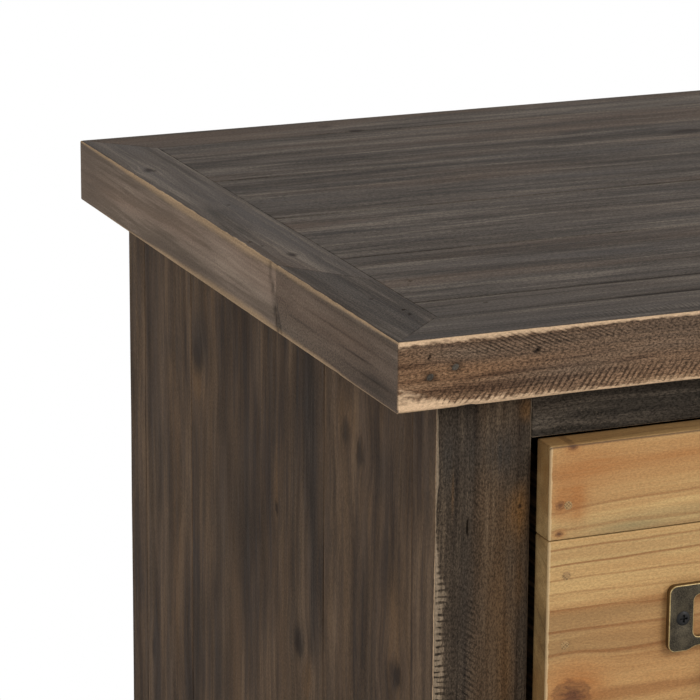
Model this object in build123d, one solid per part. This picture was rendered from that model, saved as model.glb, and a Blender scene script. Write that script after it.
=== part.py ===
from build123d import *
import os

# A drawer unit in reclaimed pine: a dark plank carcass with a framed plank top, and four natural pine
# drawers with brass label pulls. X runs to the right, the drawers open towards -Y, and the feet stand
# on Z = 0 with the origin under the middle of the overall box. All sizes are in millimetres.

# Top: four mitred border boards around lengthwise planks
TOP_WIDTH = 560.0
TOP_DEPTH = 370.0
TOP_THICKNESS = 28.0
BORDER_WIDTH = 28.0
TOP_PLANK_THICKNESS = 18.0
FIRST_TOP_PLANK_WIDTH = 22.0  # the narrow plank at the front
TOP_PLANK_COUNT = 5  # the others share the rest evenly
JOINT_OUTER = 123.5  # slanted joint in the left border board, from the top's front to its outer end
JOINT_INNER = 86.5  # and to its inner end

# How far the top reaches past the carcass
SIDE_OVERHANG = 21.0
FRONT_OVERHANG = 11.0
BACK_OVERHANG = 6.0

# Face frame and feet
FOOT_HEIGHT = 32.0
STILE_WIDTH = 40.0
CENTRE_STILE_WIDTH = 32.0
FRAME_THICKNESS = 22.0
TOP_RAIL_HEIGHT = 19.0
MIDDLE_RAIL_HEIGHT = 20.0
BOTTOM_RAIL_HEIGHT = 30.0
OPENING_HEIGHT = 155.0

# Panels
SIDE_PLANK_THICKNESS = 16.0
FRONT_SIDE_PLANK_WIDTH = 90.0
REAR_SIDE_PLANK_WIDTH = 62.0  # the plank between the two takes the rest
BACK_BOARD_THICKNESS = 8.0
BACK_BOARD_COUNT = 5
BASE_THICKNESS = 12.0
PARTITION_THICKNESS = 18.0
PLANK_GAP = 0.4  # open joint between neighbouring planks

# Runners, kickers and stops
LEDGE_HEIGHT = 12.0
GUIDE_HEIGHT = 10.0
STOP_LENGTH = 12.0
STOP_HEIGHT = 18.0
STOP_GAP = 0.3
RUNNING_GAP = 0.2
GUIDE_PLAY = 1.0  # between a guide and the drawer's side

# Drawers
FRONT_THICKNESS = 12.0
DRAWER_PROUD = 10.0
SIDE_GAP = 3.3
TOP_GAP = 1.2
BOTTOM_GAP = 2.0
BOX_INSET = 3.5  # from the edge of the front to the box behind it
BOX_THICKNESS = 9.0
BOX_HEADROOM = 17.0  # from the drawer's sides up to the opening's top
BACK_DROP = 6.0  # the drawer's back is this much lower than its sides
BOTTOM_THICKNESS = 5.0
GROOVE_DEPTH = 4.0
GROOVE_HEIGHT = 9.0  # from the lower edge of the drawer's side to the groove
GROOVE_PLAY = 0.5

# Where the joint between the two planks of each drawer front lies, below its upper edge
FRONT_JOINT_DROPS = {"upper_left": 38.0, "upper_right": 75.0, "lower_left": 98.0, "lower_right": 42.0}

# Nails through each drawer front into the box sides
NAIL_COUNT = 4
NAIL_DROP = 8.5  # from the side's upper edge to the first nail
NAIL_PITCH = 28.5
NAIL_HEAD_RADIUS = 1.8
NAIL_HEAD_THICKNESS = 0.6
NAIL_RADIUS = 0.9
NAIL_LENGTH = 38.0

# Label pull: a plate with a card window and a finger lip
PLATE_WIDTH = 93.0
PLATE_HEIGHT = 27.5
PLATE_THICKNESS = 3.0
PLATE_CORNER = 3.2
EAR_FLAT = 4.0  # straight stretch below each ear
OGEE_LENGTH = 6.0
OGEE_RISE = 1.6
WINDOW_END = 10.8  # from the plate's end to the window
WINDOW_UPPER = 4.6  # from the plate's upper edge to the window
WINDOW_LOWER = 5.3  # from the level of the ears up to the window
WINDOW_CORNER = 2.5
CARD_POCKET_DEPTH = 0.8
CARD_POCKET_MARGIN = 2.0
LIP_WIDTH = 44.0
LIP_REACH = 14.0
LIP_THICKNESS = 2.0
LIP_CORNER = 6.0

# Pull screws
SCREW_INSET = 6.1  # from the plate's end
SCREW_HEAD_RADIUS = 3.0
SCREW_HEAD_DEPTH = 1.5
SCREW_DOME = 0.6
SCREW_DOME_RADIUS = 2.0
SCREW_RADIUS = 1.4
SCREW_LENGTH = 12.0
RECESS_LENGTH = 3.2
RECESS_WIDTH = 0.8
RECESS_DEPTH = 1.0

# Screws that hold the top down, up through the kickers
TOP_SCREW_HEAD_RADIUS = 4.0
TOP_SCREW_HEAD_DEPTH = 2.6
TOP_SCREW_RADIUS = 2.0
TOP_SCREW_BITE = 7.0  # into the top's planks
TOP_SCREW_SHARES = (0.2, 0.8)  # along each kicker

FASTENER_PLAY = 0.05  # around every nail and screw

# Levels, from the floor up
ROWS = ("lower", "upper")
COLUMNS = ("left", "right")
ROW_PITCH = OPENING_HEIGHT + MIDDLE_RAIL_HEIGHT
FIRST_OPENING = FOOT_HEIGHT + BOTTOM_RAIL_HEIGHT
LAST_OPENING_TOP = FIRST_OPENING + (len(ROWS) - 1) * ROW_PITCH + OPENING_HEIGHT
CARCASS_TOP = LAST_OPENING_TOP + TOP_RAIL_HEIGHT
TOP_Z = (CARCASS_TOP, CARCASS_TOP + TOP_THICKNESS)
TOP_PLANK_Z = (TOP_Z[1] - TOP_PLANK_THICKNESS, TOP_Z[1])
BASE_Z = (FIRST_OPENING - LEDGE_HEIGHT - BASE_THICKNESS, FIRST_OPENING - LEDGE_HEIGHT)

# Depths, from the front back
PULL_PAST_TOP = max(0.0, LIP_REACH + DRAWER_PROUD - FRONT_OVERHANG)
TOP_FRONT = PULL_PAST_TOP - (TOP_DEPTH + PULL_PAST_TOP) / 2
TOP_BACK = TOP_FRONT + TOP_DEPTH
FACE = TOP_FRONT + FRONT_OVERHANG
FACE_BACK = FACE + FRAME_THICKNESS
CARCASS_BACK = TOP_BACK - BACK_OVERHANG
REAR_STILE_FRONT = CARCASS_BACK - FRAME_THICKNESS
BACK_BOARD_FRONT = REAR_STILE_FRONT - BACK_BOARD_THICKNESS
INSIDE_Y = (FACE_BACK, BACK_BOARD_FRONT)
DRAWER_FACE = FACE - DRAWER_PROUD
FRONT_BACK = DRAWER_FACE + FRONT_THICKNESS
BOX_BACK = BACK_BOARD_FRONT - STOP_LENGTH - STOP_GAP

# Widths, from the middle out
HALF_TOP = TOP_WIDTH / 2
HALF_CARCASS = HALF_TOP - SIDE_OVERHANG
HALF_INSIDE = HALF_CARCASS - SIDE_PLANK_THICKNESS
HALF_FACE = HALF_CARCASS - STILE_WIDTH
HALF_CENTRE = CENTRE_STILE_WIDTH / 2
HALF_PARTITION = PARTITION_THICKNESS / 2
LEDGE_REACH = SIDE_GAP + BOX_INSET + BOX_THICKNESS  # from an opening's edge to under the drawer's side
GUIDE_REACH = SIDE_GAP + BOX_INSET - GUIDE_PLAY  # from an opening's edge to beside the drawer's side

ALONG_Y = Rot(-90, 0, 0)
UPRIGHT = (Align.CENTER, Align.CENTER, Align.MIN)


def block(x, y, z):
    """A board given by its low and high coordinate along each axis."""
    spans = [sorted(span) for span in (x, y, z)]
    centre = [(low + high) / 2 for low, high in spans]
    return Pos(*centre) * Box(*[high - low for low, high in spans])


def group(solids):
    """Several separate pieces as one node."""
    return Compound(children=list(solids))


def cut(board, tools):
    """A board with holes or grooves taken out, and nothing else changed."""
    for tool in tools:
        board = board - tool
    return board


def rod(radius, length):
    """A cylinder that stands on the XY plane."""
    return Cylinder(radius, length, align=UPRIGHT)


def spread(edges):
    """Spans of planks laid side by side between the given edges, with open joints."""
    last = len(edges) - 2
    half = PLANK_GAP / 2
    return [
        (low + (half if i > 0 else 0), high - (half if i < last else 0))
        for i, (low, high) in enumerate(zip(edges, edges[1:]))
    ]


def even_edges(start, end, count):
    """Edges of a run of equally wide planks."""
    return [start + (end - start) * i / count for i in range(count + 1)]


def opening_x(column):
    """Low and high X of a column's drawer opening."""
    side = -1 if column == "left" else 1
    return tuple(sorted((side * HALF_FACE, side * HALF_CENTRE)))


def opening_z(row):
    """Low and high Z of a row's drawer openings."""
    low = FIRST_OPENING + ROWS.index(row) * ROW_PITCH
    return (low, low + OPENING_HEIGHT)


# Top


def border_board(outer_start, outer_end, inner_end, inner_start):
    """A mitred border board from the four corners of its plan."""
    plan = Polygon(outer_start, outer_end, inner_end, inner_start, align=None)
    return Pos(0, 0, TOP_Z[0]) * extrude(plan, amount=TOP_THICKNESS)


def top_border():
    """The four border boards, by name. The left one is pieced from two."""
    outer = [(-HALF_TOP, TOP_FRONT), (HALF_TOP, TOP_FRONT), (HALF_TOP, TOP_BACK), (-HALF_TOP, TOP_BACK)]
    half, front, back = HALF_TOP - BORDER_WIDTH, TOP_FRONT + BORDER_WIDTH, TOP_BACK - BORDER_WIDTH
    inner = [(-half, front), (half, front), (half, back), (-half, back)]
    made = {
        f"top_border_{name}": border_board(outer[i], outer[i + 1], inner[i + 1], inner[i])
        for i, name in enumerate(("front", "right", "back"))
    }
    joint_outer = (-HALF_TOP, TOP_FRONT + JOINT_OUTER)
    joint_inner = (-half, TOP_FRONT + JOINT_INNER)
    rear_piece = border_board(outer[3], joint_outer, joint_inner, inner[3])
    front_piece = border_board(joint_outer, outer[0], inner[0], joint_inner)
    made["top_border_left"] = group([rear_piece, front_piece])
    return made


def kicker_spans():
    """X spans of the strips over and under the drawer sides, from left to right."""
    outer = (HALF_FACE - LEDGE_REACH, HALF_INSIDE)
    inner = (HALF_PARTITION, HALF_CENTRE + LEDGE_REACH)
    return [(-outer[1], -outer[0]), (-inner[1], -inner[0]), inner, outer]


def top_screws(play=0.0):
    """Countersunk screws up through the kickers and battens into the top's planks."""
    length = TOP_PLANK_Z[0] - LAST_OPENING_TOP + TOP_SCREW_BITE
    head = Cone(
        TOP_SCREW_HEAD_RADIUS + play, TOP_SCREW_RADIUS + play, TOP_SCREW_HEAD_DEPTH, align=UPRIGHT
    )
    screw = head + rod(TOP_SCREW_RADIUS + play, length + play)
    depth = INSIDE_Y[1] - INSIDE_Y[0]
    return [
        Pos(sum(span) / 2, INSIDE_Y[0] + share * depth, LAST_OPENING_TOP) * screw
        for span in kicker_spans()
        for share in TOP_SCREW_SHARES
    ]


def top_planks():
    """The lengthwise planks inside the border, from the front."""
    x = (-HALF_TOP + BORDER_WIDTH, HALF_TOP - BORDER_WIDTH)
    inner_front = TOP_FRONT + BORDER_WIDTH
    inner_back = TOP_BACK - BORDER_WIDTH
    holes = top_screws(FASTENER_PLAY)
    wide_planks = even_edges(inner_front + FIRST_TOP_PLANK_WIDTH, inner_back, TOP_PLANK_COUNT - 1)
    spans = spread([inner_front, *wide_planks])
    return {
        f"top_plank_{i}": cut(block(x, span, TOP_PLANK_Z), holes) for i, span in enumerate(spans, start=1)
    }


def top_battens():
    """Three battens that hold the top's planks together from below."""
    y = (TOP_FRONT + BORDER_WIDTH, TOP_BACK - BORDER_WIDTH)
    z = (TOP_Z[0], TOP_PLANK_Z[0])
    left, left_inner, right_inner, right = kicker_spans()
    spans = [left, (left_inner[0], right_inner[1]), right]
    holes = top_screws(FASTENER_PLAY)
    return group(cut(block(x, y, z), holes) for x in spans)


# Carcass


def stiles():
    """The four corner stiles, which stand on the floor, and the stile between the columns."""
    z = (0, CARCASS_TOP)
    made = {}
    for side, sign in (("left", -1), ("right", 1)):
        x = (sign * HALF_CARCASS, sign * HALF_FACE)
        made[f"{side}_front_stile"] = block(x, (FACE, FACE_BACK), z)
        made[f"{side}_rear_stile"] = block(x, (REAR_STILE_FRONT, CARCASS_BACK), z)
    made["centre_stile"] = block(
        (-HALF_CENTRE, HALF_CENTRE), (FACE, FACE_BACK), (FIRST_OPENING, LAST_OPENING_TOP)
    )
    return made


def rails():
    """The rails of the face frame."""
    full = (-HALF_FACE, HALF_FACE)
    y = (FACE, FACE_BACK)
    middle = (FIRST_OPENING + OPENING_HEIGHT, FIRST_OPENING + ROW_PITCH)
    made = {
        "top_rail": block(full, y, (LAST_OPENING_TOP, CARCASS_TOP)),
        "bottom_rail": block(full, y, (FOOT_HEIGHT, FIRST_OPENING)),
    }
    for column in COLUMNS:
        made[f"{column}_middle_rail"] = block(opening_x(column), y, middle)
    return made


def side_planks():
    """The upright planks of both sides, from the front."""
    made = {}
    front_joint = FACE_BACK + FRONT_SIDE_PLANK_WIDTH
    rear_joint = REAR_STILE_FRONT - REAR_SIDE_PLANK_WIDTH
    spans = spread([FACE_BACK, front_joint, rear_joint, REAR_STILE_FRONT])
    for side, sign in (("left", -1), ("right", 1)):
        x = (sign * HALF_CARCASS, sign * HALF_INSIDE)
        for i, y in enumerate(spans, start=1):
            made[f"{side}_side_plank_{i}"] = block(x, y, (FOOT_HEIGHT, CARCASS_TOP))
    return made


def back_boards():
    """Upright boards against the rear stiles."""
    y = (BACK_BOARD_FRONT, REAR_STILE_FRONT)
    z = (FOOT_HEIGHT, CARCASS_TOP)
    spans = spread(even_edges(-HALF_INSIDE, HALF_INSIDE, BACK_BOARD_COUNT))
    return group(block(x, y, z) for x in spans)


def base_panel():
    """The board that closes the bottom and carries the lower runners."""
    return block((-HALF_INSIDE, HALF_INSIDE), INSIDE_Y, BASE_Z)


def centre_partition():
    """The board between the two columns of drawers."""
    return block((-HALF_PARTITION, HALF_PARTITION), INSIDE_Y, (BASE_Z[1], CARCASS_TOP))


def runner(column, row, outside):
    """A rebated strip: a ledge under the drawer's side and a guide beside it."""
    low, high = opening_x(column)
    at_low = (column == "left") == outside
    wall = HALF_INSIDE if outside else HALF_PARTITION
    wall = wall if column == "right" else -wall
    edge, inward = (low, 1) if at_low else (high, -1)
    level = opening_z(row)[0]
    ledge = block((wall, edge + inward * LEDGE_REACH), INSIDE_Y, (level - LEDGE_HEIGHT, level))
    guide = block((wall, edge + inward * GUIDE_REACH), INSIDE_Y, (level, level + GUIDE_HEIGHT))
    return ledge + guide


def drawer_runners():
    """Two runners for each drawer."""
    return group(
        runner(column, row, outside) for row in ROWS for column in COLUMNS for outside in (True, False)
    )


def kickers():
    """Strips over the upper drawers' sides, which keep an open drawer level and hold the top down."""
    holes = top_screws(FASTENER_PLAY)
    z = (LAST_OPENING_TOP, CARCASS_TOP)
    return group(cut(block(x, INSIDE_Y, z), holes) for x in kicker_spans())


def drawer_stops():
    """Blocks on the runners' back ends that a closing drawer meets."""
    y = (BACK_BOARD_FRONT - STOP_LENGTH, BACK_BOARD_FRONT)
    blocks = []
    for row in ROWS:
        level = opening_z(row)[0]
        for column in COLUMNS:
            low, high = opening_x(column)
            for edge, inward in ((low, 1), (high, -1)):
                x = (edge + inward * GUIDE_REACH, edge + inward * LEDGE_REACH)
                blocks.append(block(x, y, (level, level + STOP_HEIGHT)))
    return group(blocks)


# Drawers


def nail(play=0.0):
    """A flat-headed nail with its head on the XZ plane, pointing along +Y."""
    head = rod(NAIL_HEAD_RADIUS + play, NAIL_HEAD_THICKNESS + play)
    return ALONG_Y * (head + rod(NAIL_RADIUS + play, NAIL_LENGTH + play))


def screw_body(play=0.0):
    """The countersunk head and shank of a pull screw, with the rim on the XY plane."""
    head = Cone(SCREW_HEAD_RADIUS + play, SCREW_RADIUS + play, SCREW_HEAD_DEPTH, align=UPRIGHT)
    return head + rod(SCREW_RADIUS + play, SCREW_LENGTH + play)


def pull_screw():
    """An oval-headed screw with a cross recess, pointing along +Y."""
    dome = Cone(SCREW_HEAD_RADIUS, SCREW_DOME_RADIUS, SCREW_DOME, align=UPRIGHT)
    slot = Box(RECESS_LENGTH, RECESS_WIDTH, RECESS_DEPTH, align=UPRIGHT)
    cross = Pos(0, 0, -SCREW_DOME) * (slot + Rot(0, 0, 90) * slot)
    return ALONG_Y * (screw_body() + Rot(180, 0, 0) * dome - cross)


class DrawerPlan:
    """Where one drawer's pieces lie."""

    def __init__(self, row, column):
        low_x, high_x = opening_x(column)
        low_z, high_z = opening_z(row)
        self.front_x = (low_x + SIDE_GAP, high_x - SIDE_GAP)
        self.front_z = (low_z + BOTTOM_GAP, high_z - TOP_GAP)
        self.joint_z = self.front_z[1] - FRONT_JOINT_DROPS[f"{row}_{column}"]
        box_low, box_high = self.front_x[0] + BOX_INSET, self.front_x[1] - BOX_INSET
        self.side_spans = ((box_low, box_low + BOX_THICKNESS), (box_high - BOX_THICKNESS, box_high))
        self.inside_x = (box_low + BOX_THICKNESS, box_high - BOX_THICKNESS)
        self.box_z = (low_z + RUNNING_GAP, high_z - BOX_HEADROOM)
        groove = self.box_z[0] + GROOVE_HEIGHT
        self.groove_z = (groove, groove + BOTTOM_THICKNESS)
        self.middle_x = sum(self.front_x) / 2
        self.pull_z = sum(self.front_z) / 2

    def nails(self, play=0.0):
        """The nails that hold the front to the box sides."""
        levels = [self.box_z[1] - NAIL_DROP - i * NAIL_PITCH for i in range(NAIL_COUNT)]
        return [Pos(sum(x) / 2, DRAWER_FACE, z) * nail(play) for x in self.side_spans for z in levels]

    def screws(self, screw):
        """The given screw, or the hole for one, at both ends of the label pull."""
        reach = PLATE_WIDTH / 2 - SCREW_INSET
        y = DRAWER_FACE - PLATE_THICKNESS
        return [Pos(self.middle_x + side * reach, y, self.pull_z) * screw for side in (-1, 1)]

    def screw_holes(self):
        """The countersunk holes for the pull's screws."""
        return self.screws(ALONG_Y * screw_body(FASTENER_PLAY))

    def groove(self):
        """The slot that takes the drawer's bottom, in both sides and in the front."""
        x = (self.inside_x[0] - GROOVE_DEPTH, self.inside_x[1] + GROOVE_DEPTH)
        return block(x, (FRONT_BACK - GROOVE_DEPTH, BOX_BACK), self.groove_z)


def drawer_front(plan):
    """Two planks, one above the other, with the nail and screw holes and the groove."""
    tools = [*plan.nails(FASTENER_PLAY), *plan.screw_holes(), plan.groove()]
    y = (DRAWER_FACE, FRONT_BACK)
    half = PLANK_GAP / 2
    upper = block(plan.front_x, y, (plan.joint_z + half, plan.front_z[1]))
    lower = block(plan.front_x, y, (plan.front_z[0], plan.joint_z - half))
    return group([cut(upper, tools), cut(lower, tools)])


def drawer_sides(plan):
    """The two box sides, grooved for the bottom."""
    tools = [*plan.nails(FASTENER_PLAY), plan.groove()]
    return group(cut(block(x, (FRONT_BACK, BOX_BACK), plan.box_z), tools) for x in plan.side_spans)


def drawer_back(plan):
    """The board between the sides, which stands on the bottom."""
    z = (plan.groove_z[1], plan.box_z[1] - BACK_DROP)
    return block(plan.inside_x, (BOX_BACK - BOX_THICKNESS, BOX_BACK), z)


def drawer_bottom(plan):
    """The thin panel that slides into the grooves from behind."""
    reach = GROOVE_DEPTH - GROOVE_PLAY
    x = (plan.inside_x[0] - reach, plan.inside_x[1] + reach)
    return block(x, (FRONT_BACK - reach, BOX_BACK), plan.groove_z)


def plate_outline():
    """The label plate seen from the front: rounded above, with an ogee between the ears below."""
    half, top, low = PLATE_WIDTH / 2, PLATE_HEIGHT / 2, -PLATE_HEIGHT / 2
    ear = half - PLATE_CORNER - EAR_FLAT
    waist = ear - OGEE_LENGTH
    bend = (ear + waist) / 2
    raised = low + OGEE_RISE
    right = [
        Line((0, top), (half - PLATE_CORNER, top)),
        JernArc((half - PLATE_CORNER, top), (1, 0), PLATE_CORNER, -90),
        Line((half, top - PLATE_CORNER), (half, low + PLATE_CORNER)),
        JernArc((half, low + PLATE_CORNER), (0, -1), PLATE_CORNER, -90),
        Line((half - PLATE_CORNER, low), (ear, low)),
        Bezier((ear, low), (bend, low), (bend, raised), (waist, raised)),
        Line((waist, raised), (0, raised)),
    ]
    left = [mirror(edge, about=Plane.YZ) for edge in right]
    return make_face([*right, *left])


def finger_lip():
    """A quarter-round lip that springs from the plate's lower edge, hollow below."""
    root = -PLATE_HEIGHT / 2 + OGEE_RISE + LIP_THICKNESS
    lying = Rot(0, 90, 0)
    ring = lying * (Cylinder(LIP_REACH, LIP_WIDTH) - Cylinder(LIP_REACH - LIP_THICKNESS, LIP_WIDTH))
    quarter = ring & block((-LIP_WIDTH, LIP_WIDTH), (-LIP_REACH, 0), (0, LIP_REACH))
    seen_from_front = Pos(0, LIP_REACH) * RectangleRounded(LIP_WIDTH, 2 * LIP_REACH, LIP_CORNER)
    rounded = quarter & extrude(Plane.XZ * seen_from_front, amount=LIP_REACH)
    return Pos(0, 0, root - LIP_REACH) * rounded


def label_pull(plan):
    """The brass plate with its card window, card pocket, screw holes and lip."""
    width = PLATE_WIDTH - 2 * WINDOW_END
    height = PLATE_HEIGHT - WINDOW_UPPER - WINDOW_LOWER
    place = Pos(0, (WINDOW_LOWER - WINDOW_UPPER) / 2)
    window = place * RectangleRounded(width, height, WINDOW_CORNER)
    pocket = place * Rectangle(width + 2 * CARD_POCKET_MARGIN, height + 2 * CARD_POCKET_MARGIN)
    plate = extrude(Plane.XZ * plate_outline(), amount=PLATE_THICKNESS)
    plate = plate - extrude(Plane.XZ * window, amount=PLATE_THICKNESS)
    plate = plate - extrude(Plane.XZ * pocket, amount=CARD_POCKET_DEPTH)
    made = Pos(plan.middle_x, DRAWER_FACE, plan.pull_z) * (plate + finger_lip())
    return cut(made, plan.screw_holes())


def drawer(row, column):
    """Every piece of one drawer, by name."""
    plan = DrawerPlan(row, column)
    name = f"{row}_{column}_drawer"
    return {
        f"{name}_front": drawer_front(plan),
        f"{name}_sides": drawer_sides(plan),
        f"{name}_back": drawer_back(plan),
        f"{name}_bottom": drawer_bottom(plan),
        f"{name}_nails": group(plan.nails()),
        f"{name}_label_pull": label_pull(plan),
        f"{name}_pull_screws": group(plan.screws(pull_screw())),
    }


def pieces():
    """Every node of the drawer unit, by name."""
    made = {
        **top_border(),
        **top_planks(),
        "top_battens": top_battens(),
        "top_screws": group(top_screws()),
        **stiles(),
        **rails(),
        **side_planks(),
        "back_boards": back_boards(),
        "base_panel": base_panel(),
        "centre_partition": centre_partition(),
        "drawer_runners": drawer_runners(),
        "kickers": kickers(),
        "drawer_stops": drawer_stops(),
    }
    for row in ROWS:
        for column in COLUMNS:
            made.update(drawer(row, column))
    return made


os.makedirs("parts", exist_ok=True)
for node, shape in pieces().items():
    export_step(shape, f"parts/{node}.step")
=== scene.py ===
import math
from types import SimpleNamespace
from typing import NamedTuple

import bmesh
import bpy
import numpy as np
from mathutils import Matrix, Vector


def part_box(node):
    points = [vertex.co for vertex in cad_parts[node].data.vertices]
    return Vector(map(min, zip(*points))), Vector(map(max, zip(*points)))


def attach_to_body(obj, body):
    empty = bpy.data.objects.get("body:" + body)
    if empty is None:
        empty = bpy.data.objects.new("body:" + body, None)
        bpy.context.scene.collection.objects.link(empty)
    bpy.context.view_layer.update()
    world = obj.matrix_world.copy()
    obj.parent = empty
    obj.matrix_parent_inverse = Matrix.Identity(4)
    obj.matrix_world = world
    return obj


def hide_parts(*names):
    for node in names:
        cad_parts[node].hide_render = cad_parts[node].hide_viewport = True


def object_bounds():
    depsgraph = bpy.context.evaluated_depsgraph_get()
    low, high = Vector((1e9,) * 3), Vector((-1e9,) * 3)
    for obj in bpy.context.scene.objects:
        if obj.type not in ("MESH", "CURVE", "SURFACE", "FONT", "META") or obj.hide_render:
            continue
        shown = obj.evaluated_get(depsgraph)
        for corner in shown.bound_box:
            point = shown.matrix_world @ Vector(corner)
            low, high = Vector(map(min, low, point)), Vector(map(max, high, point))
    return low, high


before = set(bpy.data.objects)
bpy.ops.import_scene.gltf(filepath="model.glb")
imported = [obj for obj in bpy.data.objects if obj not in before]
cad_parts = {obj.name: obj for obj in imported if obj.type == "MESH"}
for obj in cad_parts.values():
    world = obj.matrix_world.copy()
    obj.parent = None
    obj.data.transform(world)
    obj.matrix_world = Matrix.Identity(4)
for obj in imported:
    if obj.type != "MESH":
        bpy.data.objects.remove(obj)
cad_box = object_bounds()

# A drawer unit in reclaimed pine. Every length is in metres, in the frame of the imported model.
MM = 0.001
X, Y, Z = range(3)
SEED = 41
TOUCH = 1e-6  # points closer than this count as one
TINY = 1e-9  # keeps a division from failing
FAR = 99.0  # stands for a point that no mark is near
THROUGH = 1.0  # reach of a mark along an axis that doesn't bound it

# Camera, measured from the top's front left upper corner
CAMERA_OFFSET = Vector((-0.5128, -1.1803, 0.3616))
CAMERA_YAW = math.radians(22.695)
CAMERA_PITCH = math.radians(15.818)
CAMERA_ROLL = math.radians(0.373)
CAMERA_LENS = 185.79
CAMERA_SENSOR = 36.0

# Light and floor
AMBIENT = 0.416  # strength of the white surround as a light
LAMPS = {"key": ((1.5, -2.2, 2.0), 62.0, 1.6), "fill": ((-2.4, -1.0, 1.4), 9.0, 2.0)}  # place, power and size
LAMP_AIM = Vector((0, 0, 0.3))
FLOOR_HALF = 6.0
FLOOR_GREY = 0.8
FLOOR_FADE = (0.08, 0.32)  # how far from the object the floor begins to turn white and is white

# Grid of a board's mesh: distances from an edge that is rounded or crisp, and lines around a placed mark
ROUNDED_LINES = (0.0, 0.3 * MM, 0.7 * MM, 1.2 * MM, 1.9 * MM, 2.8 * MM)
CRISP_LINES = (0.0, 0.35 * MM)
EDGE_SHARE = 0.4  # part of a board's width that the lines of one edge stay within
MARK_SHARES = (-1.7, -1.2, -0.8, -0.4, 0.0, 0.4, 0.8, 1.2, 1.7)
LEAST_SPACING = 0.12 * MM
ALONG_STEP = 7 * MM
COARSE_STEP = 3 * ALONG_STEP
ACROSS_STEP = 9 * MM

# Wear of a board
CORNERS = ((-1, -1), (-1, 1), (1, -1), (1, 1))  # the long edges, by their signs on the cross axes
END_RADIUS = 0.5 * MM
EDGE_WAVE = 38 * MM  # length of the waves in an edge's rounding
EDGE_SWELL = 0.35
CHIP_LENGTH = 10 * MM
CHIP_START = 0.72  # share of a wave that makes no chip
CHIP_DEPTH = 2.2  # in the edge's radius
RUB_WAVE = 24 * MM
MITRE_STRETCH = 3.2  # length of the sheared end of a mitred board, in its half widths

# Growth of a board
KNOT_SLOTS = 3
KNOT_RADIUS_MM = (1.5, 5.0)
KNOT_DARK = (0.5, 0.95)
FIBRE_PARTING = 0.8
PARTING_REACH = 2  # in the knot's radius
PITH_ASIDE = 0.8  # how far the pith may lie beside a board's middle, in its half widths
PITH_DEPTH_MM = (25, 80)
RING_WANDER = 34 * MM
GRAIN_START = (5, 60)  # sets the pattern of one board apart from the next

# Easing of the pieces that keep their CAD shape
FLAT_ANGLE = math.radians(0.5)
SHARP_ANGLE = math.radians(60)
SMOOTH_ANGLE = math.radians(40)
WALL_SLOPE = 0.3
EASING_STEPS = 3


def paint(red, green, blue):
    """A colour written in 0 to 255 display values, as the linear colour of a node."""
    shares = [value / 255 for value in (red, green, blue)]
    linear = [s / 12.92 if s <= 0.04045 else ((s + 0.055) / 1.055) ** 2.4 for s in shares]
    return (*linear, 1.0)


# Boards


class Arris(NamedTuple):
    """A long edge of a board: its rounding, and how far it is rubbed along each cross axis."""

    radius: float
    reach_a: float = 0.0
    reach_b: float = 0.0
    swell: tuple = ((0.0, 1.0),)  # how the reach changes along the board, from its low end
    uneven: float = 0.35


class Dent(NamedTuple):
    """A hollow in a face of a board, such as a nail hole or a crack, or a painted shadow line with almost no
    depth.
    """

    centre: tuple
    axis: int
    sign: int
    reach: tuple
    depth: float
    # How dark the dent is painted, as soot and as painted shade
    soot_and_shade: float


class Blot(NamedTuple):
    """A patch of another tint in a board: warm above 0 and grey below."""

    centre: tuple
    reach: tuple
    amount: float


class Knot(NamedTuple):
    """A knot through a board's thickness, longer along the fibres than across."""

    centre: tuple
    radius: float
    stretch: float = 1.4
    dark: float = 0.9


class Mitre(NamedTuple):
    """A slanted cut at one end of a board, which takes more off the further a point is from one face."""

    axis: int
    face: int
    end: int
    slope: float = 1.0


class Block(NamedTuple):
    """A board before any wear: its points, middle and half size, the axis of its fibres and the others."""

    flat: np.ndarray
    centre: np.ndarray
    half: np.ndarray
    grain: int
    cross: list

    def depth(self, axis, sign):
        """How far each point lies below one of the six faces."""
        return self.half[axis] - sign * (self.flat[:, axis] - self.centre[axis])


class BoardMesh(NamedTuple):
    """The mesh of one board, and the values that its material reads at each point."""

    points: np.ndarray
    quads: np.ndarray
    sides: np.ndarray
    fields: dict


CRISP = Arris(0.3 * MM)


def wobble(rng, positions, feature):
    """Smooth random values between -1 and 1 along a line, with bumps about one feature long."""
    steps = (positions - positions.min()) / feature
    values = rng.uniform(-1, 1, int(steps.max()) + 3)
    index = steps.astype(int)
    share = steps - index
    blend = share * share * (3 - 2 * share)
    return values[index] * (1 - blend) + values[index + 1] * blend


def grid_lines(low, high, step, rounded, marks):
    """Coordinates of a board's grid along one axis: close together at the ends and around marks."""
    near = [n for n in (ROUNDED_LINES if rounded else CRISP_LINES) if n < EDGE_SHARE * (high - low)]
    start, stop = low + near[-1], high - near[-1]
    count = max(1, math.ceil((stop - start) / step))
    lines = [low + n for n in near] + [high - n for n in near]
    wanted = [centre + share * reach for centre, reach in marks for share in MARK_SHARES]
    inner = [start + (stop - start) * i / count for i in range(1, count)]
    for line in wanted + inner:
        if start < line < stop and min(abs(line - other) for other in lines) > LEAST_SPACING:
            lines.append(line)
    return np.array(sorted(lines))


# Sides of a box, as box_surface counts them
LEFT_SIDE, RIGHT_SIDE, UPPER_SIDE = 0, 1, 5


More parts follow.
